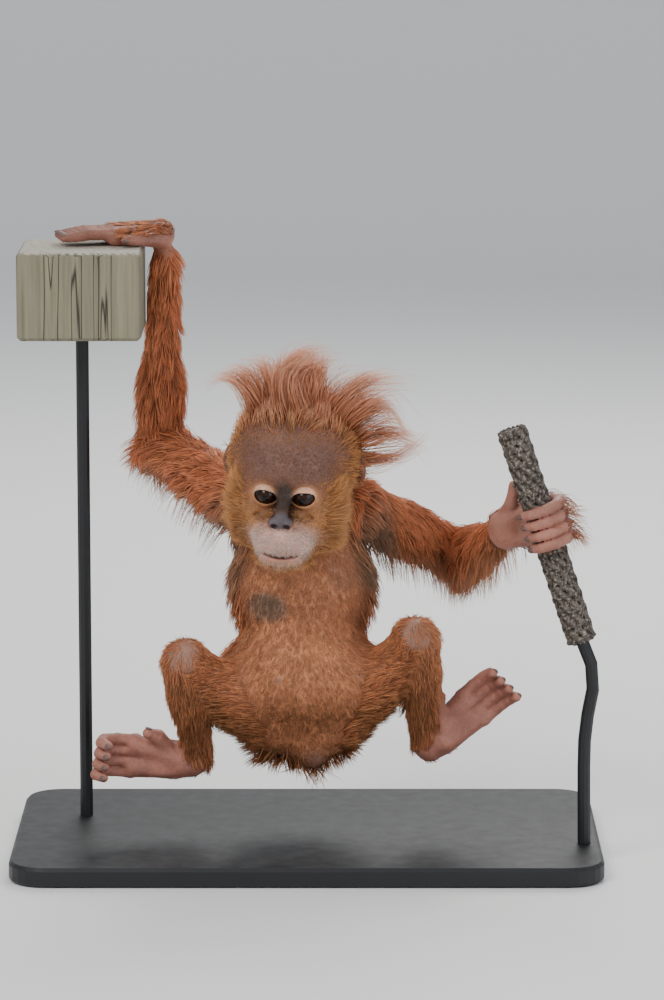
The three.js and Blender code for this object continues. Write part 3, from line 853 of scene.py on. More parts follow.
coatFinish = {
    "patchScale": 70,
    "patch": (0.86, 1.12),
    "fixed": {"Roughness": 0.5, "Specular IOR Level": 0.42},
}


def coatMaterial():
    made, shader, add, wire = newMaterial("orangutanHair", coatFinish["fixed"])
    patchy = between(add, noiseOf(add, coordsOf(add), coatFinish["patchScale"], 3), *coatFinish["patch"])
    wire(scaledColour(add, paintOf(add, "coatTone"), patchy), shader.inputs["Base Color"])
    return made


# What colours the skin: broad patches that fade into each other.
skinTones = {
    "arm": tone(158, 100, 72),
    "hand": tone(142, 94, 78),
    "palm": tone(166, 112, 96),
    "sole": tone(168, 112, 96),
    "belly": tone(192, 124, 84),
    "flank": tone(150, 96, 70),
    "back": tone(120, 78, 58),
    "patch": tone(118, 100, 90),
    "shade": tone(74, 56, 48),
    "crown": tone(106, 68, 54),
    "brow": tone(122, 86, 74),
    "temple": tone(132, 82, 56),
    "ring": tone(188, 128, 84),
    "lid": tone(226, 180, 152),
    "bridge": tone(58, 44, 38),
    "nose": tone(92, 84, 88),
    "muzzle": tone(206, 160, 146),
    "cheek": tone(166, 112, 70),
    # painted shade for the seam of the mouth and, darker still, for inside the nostrils
    "lip": tone(176, 122, 100),
    "recessShade": tone(104, 60, 56),
    "chin": tone(190, 154, 112),
    "ear": tone(134, 84, 68),
    "knee": tone(140, 116, 104),
    "genital": tone(122, 92, 82),
}


def soften(p, centre, half, edge=0.35):
    reach = np.linalg.norm((p - np.asarray(centre, float)) / np.asarray(half, float), axis=1)
    return 1 - ramp(reach, 1 - edge, 1 + edge)


# Patches of the skin: tone, centre, half size, edge and strength.
trunkPatches = [
    ("patch", (-37, -48, 231), (20, 30, 15), 0.3, 0.75),
    ("patch", (40, -40, 262), (22, 30, 16), 0.35, 0.45),
    ("shade", (62, -6, 286), (26, 40, 42), 0.35, 0.85),
    ("shade", (-70, -2, 282), (22, 40, 40), 0.35, 0.6),
    ("genital", (5, -14, 88), (15, 20, 16), 0.35, 0.8),
    ("genital", trunk["navel"], (4, 8, 4), 0.35, 0.8),
    *(("genital", spot, (4, 6, 4), 0.35, 0.7) for spot in trunk["nipples"]),
]
facePatches = [
    ("brow", (20, -50, 26), (26, 30, 20), 0.6, 0.9),
    ("temple", (48, -22, -6), (26, 30, 26), 0.5, 1),
    ("cheek", (34, -46, -34), (26, 34, 22), 0.5, 1),
    ("ring", (18.5, -58, -7), (12.5, 16, 11), 0.45, 1),
    ("muzzle", (0, -70, -45), (34, 28, 17), 0.3, 1),
    ("chin", (0, -62, -70), (30, 24, 9), 0.5, 1),
    ("bridge", (0, -62, -8), (9, 20, 16), 0.5, 1),
    # These two carry the bridge's dark tone into the crease beside the nose and under the fold below the eye,
    # as painted shade.
    ("bridge", (9.5, -66, -20), (7, 12, 6), 0.5, 0.9),
    ("bridge", (19, -60, -26), (9, 12, 3.2), 0.5, 0.65),
    ("nose", (0, -77, -23.5), (10.5, 12, 7.5), 0.3, 1),
    ("lip", (0, -72, -61), (19, 16, 3.4), 0.4, 0.8),
]
kneeCap = (0, -14, 6)  # from the knee's joint


def patched(base, tones, patches, p, share=1):
    for name, centre, half, edge, strength in patches:
        base = over(base, tones[name], soften(p, centre, half, edge) * strength * share)
    return base


def paintSkin(made):
    p = pointsOf(made)
    apart = partDistances(p)
    names = list(apart)
    near = np.stack([apart[n] for n in names], 1)
    weight = np.exp(-(near - near.min(1, keepdims=True)) / 3.0)
    weight /= weight.sum(1, keepdims=True)
    share = {n: weight[:, i] for i, n in enumerate(names)}
    whole = np.zeros((len(p), 3))
    trunkTone = mix(skinTones["belly"], skinTones["flank"], ramp(p[:, 1], -38, -5))
    trunkTone = mix(trunkTone, skinTones["back"], ramp(p[:, 1], 0, 35))
    trunkTone = patched(trunkTone, skinTones, trunkPatches, p)
    neckTone = mix(skinTones["belly"], skinTones["back"], ramp(p[:, 1], -20, 20))
    for name in names:
        if name == "trunk":
            part = trunkTone
        elif name == "neck":
            part = neckTone
        elif name == "head":
            part = faceTone(halfHead(p))
        elif name.startswith("ear"):
            part = np.tile(skinTones["ear"], (len(p), 1))
        elif name.startswith("arm") or name.startswith("leg"):
            part = np.tile(skinTones["arm"], (len(p), 1))
            knee = joint[limbs[name]["joints"][1]] + kneeCap
            part = over(part, skinTones["knee"], soften(p, knee, (15, 12, 15)) * 0.6)
        else:
            inner = ramp(within(handsAndFeet[name], p)[:, 2], -2, 5)
            under = skinTones["palm"] if name in hands else skinTones["sole"]
            part = mix(np.tile(skinTones["hand"], (len(p), 1)), np.tile(under, (len(p), 1)), inner)
        whole += part * share[name][:, None]
    paint(made, "skinTone", whole)
    return apart


def over(base, colour, amount):
    return base + (colour - base) * amount[:, None]


def faceTone(m):
    part = np.tile(skinTones["crown"], (len(m), 1))
    part = patched(part, skinTones, facePatches, m)
    # Painted shade along the seam of the mouth.
    offLine = np.abs(m[:, 2] - mouthLine(m))
    onLine = (1 - ramp(offLine, 0.6, 2.0)) * (1 - ramp(m[:, 0], 14, 17)) * ramp(-m[:, 1], 55, 62)
    part = over(part, skinTones["recessShade"], onLine)
    lid = np.linalg.norm(m - np.array(face["eye"]), axis=1)
    onLid = (1 - ramp(lid, 12.4, 13.2)) * ramp(m[:, 2], -10, -3)
    part = over(part, skinTones["lid"], onLid * 0.7)
    # Painted shade deep in each nostril.
    nostril = soften(m, np.array(face["nostril"]) + (0, 3, 0), (3.2, 6, 2.7), 0.2)
    return over(part, skinTones["recessShade"] * 0.25, nostril)


# Eyes: a wet dark ball with a cornea that stands a little proud.
eyes = {
    "gaze": (0.0, -1, -0.12),
    "iris": 7.4,
    "pupil": 2.8,
    "bulge": 1.0,
    "bulgeWidth": 0.42,
    "sink": 0.05,
    "rings": 56,
    "around": 72,
    "fixed": {
        "Roughness": 0.09,
        "Specular IOR Level": 0.22,
        "Coat Weight": 0.12,
        "Coat Roughness": 0.02,
    },
}
eyeTones = {
    "pupil": tone(8, 6, 6),
    "iris": tone(52, 28, 17),
    "rim": tone(14, 9, 8),
    "white": tone(54, 38, 32),
}


def ballGrid(rings, around):
    polar = np.linspace(0, math.pi, rings + 1)[1:-1]
    turn = np.linspace(0, 2 * math.pi, around, endpoint=False)
    fromAxis, turns = np.meshgrid(polar, turn, indexing="ij")
    across = np.sin(fromAxis)
    return fromAxis, turns, np.stack([np.cos(fromAxis), across * np.cos(turns), across * np.sin(turns)], -1)


def makeEye(name, side):
    gaze = unit(eyes["gaze"])
    across = unit(np.cross(gaze, (0, 0, 1)))
    above = np.cross(across, gaze)
    fromAxis, turns, ball = ballGrid(eyes["rings"], eyes["around"])
    reach = face["eyeRadius"] + eyes["bulge"] * hump(fromAxis, 0, eyes["bulgeWidth"]) - eyes["sink"]
    spots = sum(axis * ball[..., i, None] for i, axis in enumerate((gaze, across, above)))
    spots = spots * reach[..., None]
    first = gaze * (face["eyeRadius"] + eyes["bulge"] - eyes["sink"])
    points = np.concatenate([spots.reshape(-1, 3), [first, -gaze * face["eyeRadius"]]])
    centre = np.array(face["eye"]) * (side, 1, 1)
    made = newObject(name, fromHead(points + centre), gridFaces(eyes["rings"] - 1, eyes["around"]))
    onAxis = np.concatenate([fromAxis.ravel(), [0, math.pi]]) * face["eyeRadius"]
    spin = np.concatenate([turns.ravel(), [0, 0]])
    streak = 0.75 + 0.35 * np.sin(spin * 23 + 2 * np.sin(spin * 7)) * np.sin(spin * 11)
    colour = np.tile(eyeTones["iris"], (len(onAxis), 1)) * streak[:, None]
    colour = over(colour, eyeTones["pupil"], 1 - ramp(onAxis, eyes["pupil"] - 0.4, eyes["pupil"] + 0.4))
    colour = over(colour, eyeTones["rim"], ramp(onAxis, eyes["iris"] - 1.6, eyes["iris"]))
    colour = over(colour, eyeTones["white"], ramp(onAxis, eyes["iris"] + 0.2, eyes["iris"] + 2.5))
    paint(made, "eyeTone", colour)
    return made


# Triangles over rows of points, closed at both ends by the two points that follow them.
def gridFaces(rows, around):
    faces = []
    for row in range(rows - 1):
        for i in range(around):
            a, b = row * around + i, row * around + (i + 1) % around
            faces += [(a, b, b + around), (a, b + around, a + around)]
    first, last = rows * around, rows * around + 1
    for i in range(around):
        j = (i + 1) % around
        faces += [(first, j, i), (last, (rows - 1) * around + i, (rows - 1) * around + j)]
    return np.array(faces)


def eyeMaterial():
    made, shader, add, wire = newMaterial("wetEye", eyes["fixed"])
    veins = between(add, noiseOf(add, coordsOf(add), 700, 3), 0.85, 1.1)
    wire(scaledColour(add, paintOf(add, "eyeTone"), veins), shader.inputs["Base Color"])
    return made


# Nails, one on the back of each digit's tip.
nail = {
    "half": (4.0, 3.1, 1.2),
    "curve": 0.09,
    "back": 2.6,
    "further": 1.2,
    "sink": 0.6,
    "rings": 9,
    "around": 14,
    "dark": tone(70, 52, 48),
    "pale": tone(128, 98, 90),
    "fixed": {"Roughness": 0.34},
}


def makeNails():
    ball = ballGrid(nail["rings"], nail["around"])[2]
    ball = np.concatenate([ball.reshape(-1, 3), [(1, 0, 0), (-1, 0, 0)]]) * nail["half"]
    ball[:, 2] -= nail["curve"] * ball[:, 1] ** 2
    faces = gridFaces(nail["rings"] - 1, nail["around"])
    points, triangles = [], []
    for shape in handsAndFeet.values():
        for path, radii in shape["digits"]:
            path = np.asarray(path)
            out = unit(path[-1] - path[-2])
            bow = path[len(path) // 2] - (path[0] + path[-1]) / 2
            if np.linalg.norm(bow) < 1:
                bow = -shape["axes"][2]
            outward = unit(bow - out * (bow @ out))
            side = np.cross(outward, out)
            centre = path[-1] - out * (nail["back"] - radii[-1]) + outward * (radii[-1] - nail["sink"])
            centre = centre - out * nail["further"]
            triangles.append(faces + sum(len(q) for q in points))
            points.append(ball @ np.array([out, side, outward]) + centre)
    return newObject("digitNails", np.concatenate(points), np.concatenate(triangles))


def nailMaterial():
    made, shader, add, wire = newMaterial("nailHorn", nail["fixed"])
    streaks = noiseOf(add, coordsOf(add), 500, 3)
    wire(mixedColour(add, streaks, nail["dark"], nail["pale"]), shader.inputs["Base Color"])
    return made


def dress(thing, material):
    thing.data.materials.clear()
    thing.data.materials.append(material)
    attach(thing, "root")


# Where a hair's colours sit on the bake map: one tile for each part, the way around the part
# running across it and the way along the part running up it.
chartPaths = {
    "trunk": [(-5, 5, 60), (-8, 8, 345)],
    "neck": [(-8, 14, 290), (-12, -16, 350)],
    "head": [fromHead((0, 0, -80)), fromHead((0, 0, 90))],
    "earLeft": [fromHead((52, 14, -14)), fromHead((64, 14, 18))],
    "earRight": [fromHead((-52, 14, -14)), fromHead((-64, 14, 18))],
}
for name, limb in limbs.items():
    chartPaths[name] = [joint[j] for j in limb["joints"]]
for name, shape in handsAndFeet.items():
    chartPaths[name] = [placed(shape, (-18, 0, 0)), placed(shape, (95, 0, 0))]
partNames = list(bodyParts)
bake = {"patch": 0.003, "columns": 4, "margin": 0.03, "startSide": (0.2, 0.9, 0.4)}


def chartPlace(p, partOf):
    place = np.zeros((len(p), 2))
    for number, name in enumerate(partNames):
        here = np.flatnonzero(partOf == number)
        if not len(here):
            continue
        path = np.array(chartPaths[name], float)
        best = np.full(len(here), 1e9)
        spot = np.zeros((len(here), 2))
        for i in range(len(path) - 1):
            axis = path[i + 1] - path[i]
            share = np.clip((p[here] - path[i]) @ axis / (axis @ axis), 0, 1)
            away = p[here] - path[i] - share[:, None] * axis
            first = unit(np.cross(axis, bake["startSide"]))
            second = np.cross(unit(axis), first)
            turn = np.arctan2(away @ second, away @ first) / (2 * math.pi) + 0.5
            reach = np.linalg.norm(away, axis=1)
            nearer = reach < best
            best = np.where(nearer, reach, best)
            spot[nearer] = np.stack([turn, (i + share) / (len(path) - 1)], 1)[nearer]
        corner = np.array([number % bake["columns"], number // bake["columns"]])
        margin = bake["margin"]
        place[here] = (corner + margin + spot * (1 - 2 * margin)) / bake["columns"]
    return place


# The skin as a seedbed: its triangles, their normals and the part each is on.
def makeSeedbed(thing, apart):
    mesh = thing.data
    mesh.calc_loop_triangles()
    corners = np.empty(len(mesh.loop_triangles) * 3, np.int32)
    mesh.loop_triangles.foreach_get("vertices", corners)
    corners = corners.reshape(-1, 3)
    points = pointsOf(thing)
    a, b, c = (points[corners[:, i]] for i in range(3))
    cross = np.cross(b - a, c - a)
    area = np.linalg.norm(cross, axis=1) / 2
    nearest = np.argmin(np.stack([apart[n] for n in partNames], 1), 1)
    return {"a": a, "b": b, "c": c, "area": area, "normal": unit(cross), "part": nearest[corners[:, 0]]}


def sow(seedbed, count, weightOf):
    middle = (seedbed["a"] + seedbed["b"] + seedbed["c"]) / 3
    weight = seedbed["area"] * weightOf(middle, seedbed["normal"], seedbed["part"])
    total = np.cumsum(weight)
    chosen = np.searchsorted(total, rng.uniform(0, total[-1], count))
    u, v = rng.uniform(0, 1, (2, count, 1))
    flip = u + v > 1
    u, v = np.where(flip, 1 - u, u), np.where(flip, 1 - v, v)
    a, b, c = seedbed["a"][chosen], seedbed["b"][chosen], seedbed["c"][chosen]
    return a + (b - a) * u + (c - a) * v, seedbed["normal"][chosen], seedbed["part"][chosen]


# Which way the fur lies on each part.
down = np.array([0, 0, -1.0])
furLie = {"armDroop": 0.35, "legDroop": 0.25, "flank": 0.9, "neckFan": 0.012}


def limbFlow(name, p, lowerTurn):
    a, b, c = (joint[j] for j in limbs[name]["joints"])
    upper, lower = unit(b - a), unit(c - b) * lowerTurn
    nearUpper = coneField(p, a, b, 1, 1) < coneField(p, b, c, 1, 1)
    return np.where(nearUpper[:, None], upper, lower)


def headFlow(m):
    local = m * (0.9, 0.9, 0.2) / 60 + np.array([0, 0.55, -0.15])
    top = ramp(m[:, 2], 10, 45)[:, None]
    local = local * (1 - top) + (m * (1, 0.6, 1.3) / 60) * top
    onFront = ramp(-m[:, 1], 24, 42)[:, None]
    outward = np.sign(m[:, 0]) * ramp(np.abs(m[:, 0]), 0, 22)
    upward = np.clip((m[:, 2] + 34) / 34, -1.2, 1)
    cheek = np.stack([outward, m[:, 0] * 0, upward], 1)
    return (local * (1 - onFront) + cheek * onFront) @ headTurn.T


def furFlow(p, normal, partOf):
    flow = np.zeros(p.shape)
    for number, name in enumerate(partNames):
        here = np.flatnonzero(partOf == number)
        if not len(here):
            continue
        q = p[here]
        if name.startswith("arm"):
            own = limbFlow(name, q, -1) + down * furLie["armDroop"]
        elif name.startswith("leg"):
            own = limbFlow(name, q, 1) + down * furLie["legDroop"]
        elif name in handsAndFeet:
            own = np.tile(handsAndFeet[name]["axes"][0], (len(here), 1))
        elif name == "trunk":
            side = (q[:, :1] + 6) / 60
            own = down + np.array([1, 0.25, 0]) * side * furLie["flank"]
        elif name == "neck":
            own = down * 0.8 + (q - (-10, 4, 330)) * furLie["neckFan"]
        else:
            own = headFlow(toHead(q))
        flow[here] = own
    flow -= normal * np.sum(flow * normal, axis=1, keepdims=True)
    return unit(flow)


# Hairs lean towards a leader nearby, the more the nearer they are to their tips.
clump = {"each": 22, "reach": 14, "power": 1.3}


def clumped(paths, share, each=clump["each"]):
    count = paths.shape[1]
    leaders = rng.choice(count, max(1, count // each), replace=False)
    roots = paths[0]
    pull = np.linspace(0, 1, len(paths)) ** clump["power"] * share
    atOnce = 2000
    for start in range(0, count, atOnce):
        block = slice(start, start + atOnce)
        gaps = ((roots[block, None] - roots[None, leaders]) ** 2).sum(2)
        leader = leaders[gaps.argmin(1)]
        near = gaps.min(1) < clump["reach"] ** 2
        offset = (paths[:, leader] - paths[:, block]) * pull[:, None, None]
        paths[:, block] += offset * near[None, :, None]
    return paths


growth = {"rootDepth": 0.5, "above": 0.5, "rise": 0.3, "mostPush": 5, "sway": 1.7}


def growPaths(roots, normals, flow, length, piece):
    steps = piece["steps"]
    heading = unit(flow + normals * piece["lift"] + rng.normal(0, piece["stray"], roots.shape))
    side = np.cross(normals, heading)
    swing, pace = rng.uniform(0, 2 * math.pi, len(roots)), rng.uniform(0.6, 1.4, len(roots))
    spot = roots - normals * growth["rootDepth"]
    paths = [spot]
    for i in range(steps):
        sway = side * np.sin(swing + pace * (i + 1) * growth["sway"])[:, None] * piece["curl"]
        heading = unit(heading + down * piece["droop"] / steps + sway)
        spot = spot + heading * (length / steps)[:, None]
        if i < 3 or steps < 6:
            short = growth["above"] + growth["rise"] * i - inChunks(bodyField, spot)
            spot = spot + normals * np.clip(short, 0, growth["mostPush"])[:, None]
        paths.append(spot)
    return np.array(paths)


# Moves hair that has grown into the rope or the post out to just clear of them.
perch = {"clear": 1.6, "overEnds": 4, "low": (-259, -10, 466), "high": (-148, 102, 545)}


def clearOfPerches(paths):
    spots = paths[1:].reshape(-1, 3)
    along = (spots - ropeTop) @ ropeDown
    away = spots - ropeTop - along[:, None] * ropeDown
    reach = np.linalg.norm(away, axis=1)
    wanted = rope["radius"] + perch["clear"]
    ropeLength = np.linalg.norm(ropeBottom - ropeTop)
    beside = (along > -perch["overEnds"]) & (along < ropeLength + perch["overEnds"]) & (reach < wanted)
    spots = spots + np.where(beside[:, None], unit(away) * (wanted - reach)[:, None], 0)
    low = np.array(perch["low"], float) - perch["clear"]
    high = np.array(perch["high"], float) + perch["clear"]
    depths = np.concatenate([spots - low, high - spots], 1)
    nearest = depths.argmin(1)
    depth = depths.min(1)
    inside = np.flatnonzero(depth > 0)
    spots[inside, nearest[inside] % 3] += depth[inside] * np.where(nearest[inside] < 3, -1, 1)
    paths[1:] = spots.reshape(paths[1:].shape)
    return paths


# Hairs as closed, tapered, three-sided blades along their paths.
blade = {"flat": 0.6, "taper": 1.6, "tip": 0.15, "toneCurve": 0.8}
bladeTurns = (math.pi / 2, math.pi * 7 / 6, math.pi * 11 / 6)


def bladesOf(name, paths, normals, radius, colours, place):
    rings, count = len(paths) - 1, paths.shape[1]
    along = unit(np.concatenate([paths[1:2] - paths[:1], paths[2:] - paths[:-2]]))
    side = unit(np.cross(along, normals[None]))
    rise = np.cross(side, along)
    narrowing = 1 - (np.arange(rings) / rings) ** blade["taper"]
    taper = narrowing[:, None, None] * (1 - blade["tip"]) + blade["tip"]
    width = radius[None, :, None] * taper
    ringPoints = [
        paths[:-1] + side * width * math.cos(t) + rise * width * blade["flat"] * math.sin(t)
        for t in bladeTurns
    ]
    body = np.stack(ringPoints, 2)
    points = np.concatenate([body.transpose(1, 0, 2, 3).reshape(count, -1, 3), paths[-1][:, None]], 1)
    faces = [(0, 2, 1)]
    for row in range(rings - 1):
        for k in range(3):
            a, b = row * 3 + k, row * 3 + (k + 1) % 3
            faces += [(a, b, b + 3), (a, b + 3, a + 3)]
    tip = rings * 3
    faces += [(tip - 3 + k, tip - 3 + (k + 1) % 3, tip) for k in range(3)]
    faces = np.array(faces)
    each = rings * 3 + 1
    allFaces = (faces[None] + np.arange(count)[:, None, None] * each).reshape(-1, 3)
    made = newObject(name, points.reshape(-1, 3), allFaces)
    height = np.concatenate([np.repeat(np.arange(rings) / rings, 3), [1]])
    root, tip = colours
    shade = root[:, None] + (tip - root)[:, None] * (height ** blade["toneCurve"])[None, :, None]
    paint(made, "coatTone", np.clip(shade, 0, 1).reshape(-1, 3))
    acrossPatch = np.concatenate([np.tile([-0.5, 0, 0.5], rings), [0]])
    patch = np.stack([acrossPatch, height - 0.5], 1) * bake["patch"]
    spots = (place[:, None] + patch[None]).reshape(-1, 2)
    layer = made.data.uv_layers.new(name="OFBake")
    layer.data.foreach_set("uv", spots[allFaces.ravel()].astype(np.float32).ravel())
    return made


# Each fur tone at the root and at the tip.
furTones = {
    "arm": (tone(138, 68, 32), tone(242, 152, 104)),
    # under: painted shade, the darker tone laid on the limbs' hair that faces down
    "under": (tone(84, 56, 30), tone(156, 106, 60)),
    "leg": (tone(128, 72, 42), tone(220, 144, 98)),
    "back": (tone(118, 58, 28), tone(224, 132, 80)),
    "belly": (tone(158, 98, 64), tone(216, 150, 108)),
    "crest": (tone(158, 84, 40), tone(244, 176, 140)),
    "side": (tone(140, 82, 36), tone(226, 160, 98)),
    "brow": (tone(94, 58, 42), tone(160, 116, 94)),
    "cheek": (tone(138, 84, 42), tone(228, 164, 104)),
    "muzzle": (tone(200, 158, 140), tone(246, 226, 212)),
    "bridge": (tone(52, 38, 32), tone(96, 72, 58)),
    "hand": (tone(112, 60, 36), tone(206, 128, 84)),
    # grey: the grey patch on the chest, and also painted shade at both armpits
    "grey": (tone(84, 72, 60), tone(136, 116, 94)),
}


furPatches = [
    ("bridge", (0, -62, -9), (10, 20, 15), 0.4, 1),
    ("cheek", (36, -44, -38), (26, 34, 34), 0.4, 1),
    ("muzzle", (0, -70, -46), (35, 30, 18), 0.3, 1),
]
# Painted shade on the limbs' hair that faces down: where it starts, where it is full, and how dark it gets.
undersideShade = {"from": 0.15, "to": 0.85, "strength": 0.62}
variety = {"brow": 4, "light": 0.16, "hue": 0.05}


def plainTone(name, t, p):
    if name in handsAndFeet:
        return t["hand"]
    if name in ("trunk", "neck"):
        return mix(t["belly"], t["back"], ramp(p[:, 1], -30, 8))
    return t.get(name[:3], t["side"])


def furColours(p, normal, partOf):
    pair = []
    m = halfHead(p)
    onHead = isPart(partOf, "head", "ear")
    onLimb = ~onHead
    for end in (0, 1):
        t = {name: colours[end] for name, colours in furTones.items()}
        whole = np.zeros(p.shape)
        for number, name in enumerate(partNames):
            here = partOf == number
            whole[here] = plainTone(name, t, p[here])
        # Painted shade: the limbs' hair turns darker the more it faces down.
        shadeBelow = ramp(-normal[:, 2], undersideShade["from"], undersideShade["to"])
        whole = over(whole, t["under"], shadeBelow * undersideShade["strength"] * onLimb)
        # The grey skin patch on the chest, then painted shade at both armpits, where the skin's shade patches
        # lie.
        patch = soften(p, (-37, -48, 231), (20, 30, 15), 0.3) * 0.85
        patch = patch + soften(p, (58, -6, 282), (18, 40, 42)) * 0.7
        patch = np.maximum(patch, soften(p, (-70, -2, 282), (22, 40, 40)) * 0.6)
        whole = over(whole, t["grey"], np.minimum(patch, 1) * onLimb)
        whole = over(whole, t["crest"], ramp(m[:, 2], 30, 50) * onHead * ramp(m[:, 1], -45, -20))
        ragged = rng.normal(0, variety["brow"], len(p))
        forehead = ramp(m[:, 2] + ragged, -8, 14) * ramp(-m[:, 1] + ragged, 8, 32)
        forehead = forehead * (1 - ramp(m[:, 0] + ragged, 34, 54))
        forehead = forehead * (1 - 0.75 * ramp(m[:, 2] + ragged, 30, 46))
        whole = over(whole, t["brow"], forehead * onHead)
        whole = patched(whole, t, furPatches, m, onHead)
        pair.append(whole)
    lot = rng.normal(1, variety["light"], (len(p), 1))
    hue = rng.normal(0, variety["hue"], (len(p), 1)) * (1, -0.4, -0.8)
    return [colour * np.clip(lot, 0.55, 1.5) * (1 + hue) for colour in pair]


def isPart(partOf, *starts):
    return np.isin(partOf, [i for i, n in enumerate(partNames) if n.startswith(starts)])


bareSpots = [  # of the face: centre, half size and edge
    ((17.5, -58, -8), (14.5, 20, 12.5), 0.12),
    ((0, -74, -23), (11, 16, 8), 0.12),
    ((0, -72, -58), (14, 16, 3), 0.2),
]


def clearOfFace(p):
    m = halfHead(p)
    return 1 - np.max([soften(m, *spot) for spot in bareSpots], 0)


def onFace(p):
    m = halfHead(p)
    return ramp(-m[:, 1], 14, 30) * (1 - ramp(m[:, 0], 50, 56)) * (1 - ramp(m[:, 2], 40, 52))


def frontOfTrunk(p):
    return 1 - ramp(p[:, 1], -26, -6)


# Where hair grows on a hand or foot: on its back, short of the digits.
def onBack(name, p, part, depth, reach):
    own = isPart(part, name)
    q = within(handsAndFeet[name], p)
    return own, np.where(own, (q[:, 2] < depth) * (q[:, 0] < reach) * 0.8, 1)


# The pieces of the coat: for each its numbers, how thickly its hair stands and how long it is.
# Every weight and length is worked out from the places, the skin's normals and the parts.
armCoat = {
    "count": 8600, "radius": 0.62, "clump": 0.6,
    "steps": 4, "lift": 0.32, "droop": 0.75, "stray": 0.16, "curl": 0.16,
    "length": 22, "elbowLonger": 17, "elbowReach": 62, "handLength": 13,
}


def armWeight(side):
    def weight(p, n, part):
        hand, back = onBack("hand" + side, p, part, -1, 40)
        return (isPart(part, "arm" + side) | hand) * back

    return weight


def armLength(side):
    def length(p, n, part):
        nearElbow = hump(np.linalg.norm(p - joint["elbow" + side], axis=1), 0, armCoat["elbowReach"])
        onArm = armCoat["length"] + armCoat["elbowLonger"] * nearElbow
        return np.where(isPart(part, "hand"), armCoat["handLength"], onArm)

    return length


legCoat = {
    "count": 8600, "radius": 0.5, "clump": 0.4,
    "steps": 3, "lift": 0.16, "droop": 0.3, "stray": 0.14, "curl": 0.08,
    "length": 14, "underLonger": 7, "footLength": 8,
}


def legWeight(side):
    def weight(p, n, part):
        foot, back = onBack("foot" + side, p, part, -3, 34)
        bare = soften(p, joint["knee" + side] + kneeCap, (13, 12, 13))
        return (isPart(part, "leg" + side) | foot) * back * (1 - 0.6 * bare)

    return weight


def legLength(p, n, part):
    onLeg = legCoat["length"] + legCoat["underLonger"] * ramp(-n[:, 2], 0, 0.8)
    return np.where(isPart(part, "foot"), legCoat["footLength"], onLeg)


backCoat = {
    "count": 8800, "radius": 0.62, "clump": 0.55,
    "steps": 4, "lift": 0.28, "droop": 0.4, "stray": 0.16, "curl": 0.14,
    "length": 24, "longer": 8,
}


def backWeight(p, n, part):
    bare = soften(p, (5, -12, 90), (13, 18, 14), 0.2)
    return isPart(part, "trunk", "neck") * (1 - frontOfTrunk(p)) * (1 - bare)


def backLength(p, n, part):
    return backCoat["length"] + rng.uniform(0, backCoat["longer"], len(p))


bellyCoat = {
    "count": 15000, "radius": 0.3, "clump": 0.3,
    "steps": 2, "lift": 0.1, "droop": 0.2, "stray": 0.16, "curl": 0.05,
    "length": 6, "flankLonger": 9, "chestLonger": 3,
}


def bellyWeight(p, n, part):
    bare = soften(p, (5, -12, 90), (13, 16, 14), 0.2)
    bare = np.maximum(bare, soften(p, trunk["navel"], (5, 9, 5)))
    return isPart(part, "trunk", "neck") * frontOfTrunk(p) * (1 - 0.93 * bare)


def bellyLength(p, n, part):
    flank, chest = ramp(np.abs(p[:, 0] + 6), 34, 62), ramp(p[:, 2], 250, 300)
    return bellyCoat["length"] + bellyCoat["flankLonger"] * flank + bellyCoat["chestLonger"] * chest


wispCoat = {
    "count": 1500, "radius": 0.34, "clump": 0.5,
    "steps": 6, "lift": 0.5, "droop": 1.5, "stray": 0.22, "curl": 0.22,
    "length": 46, "handLength": 24,
}


def wispWeight(p, n, part):
    arm = isPart(part, "arm")
    hand = isPart(part, "handLeft") * ramp(n @ unit((1, 0.4, 0.3)), 0.1, 0.6)
    nearWrist = np.linalg.norm(p - joint["wristLeft"], axis=1) < 34
    return arm * ramp(-n[:, 2], 0.2, 0.7) + hand * 1.6 + arm * nearWrist * 0.7


def wispLength(p, n, part):
    return np.where(isPart(part, "hand"), wispCoat["handLength"], wispCoat["length"])


headCoat = {
    "count": 8000, "radius": 0.44, "clump": 0.5,
    "steps": 3, "lift": 0.3, "droop": 0.3, "stray": 0.2, "curl": 0.14,
    "length": 12, "topLonger": 12, "napeLonger": 8,
}


def headWeight(p, n, part):
    return isPart(part, "head") * (1 - onFace(p)) + isPart(part, "ear") * 0.12


def headLength(p, n, part):
    m = toHead(p)
    top, nape = ramp(m[:, 2], 20, 50), ramp(m[:, 1], -10, 30)
    return headCoat["length"] + headCoat["topLonger"] * top + headCoat["napeLonger"] * nape


faceCoat = {
    "count": 16000, "radius": 0.23, "clump": 0.25,
    "steps": 2, "lift": 0.26, "droop": 0.16, "stray": 0.2, "curl": 0.08,
    "length": 3, "cheekLonger": 17, "chinLonger": 10, "muzzleLonger": 2,
}


def faceWeight(p, n, part):
    return isPart(part, "head") * onFace(p) * clearOfFace(p)


def faceLength(p, n, part):
    m = halfHead(p)
    cheek = ramp(m[:, 0], 27, 42) * (1 - ramp(m[:, 2], -4, 6))
    chin = ramp(-m[:, 2], 60, 70) * (1 - cheek)
    muzzle = soften(m, (0, -70, -46), (34, 30, 17), 0.3)
    longer = faceCoat["cheekLonger"] * cheek + faceCoat["chinLonger"] * chin
    return faceCoat["length"] + longer + faceCoat["muzzleLonger"] * muzzle


furPieces = {
    "armCoatLeft": (armCoat, armWeight("Left"), armLength("Left")),
    "armCoatRight": (armCoat, armWeight("Right"), armLength("Right")),
    "legCoatLeft": (legCoat, legWeight("Left"), legLength),
    "legCoatRight": (legCoat, legWeight("Right"), legLength),
    "backCoat": (backCoat, backWeight, backLength),
    "bellyCoat": (bellyCoat, bellyWeight, bellyLength),
    "wispCoat": (wispCoat, wispWeight, wispLength),
    "headCoat": (headCoat, headWeight, headLength),
    "faceCoat": (faceCoat, faceWeight, faceLength),
}
quickShare = 1  # of the hairs


def finishCoat(made, material):
    dress(made, material)
    print("coat:", made.name, len(made.data.polygons))


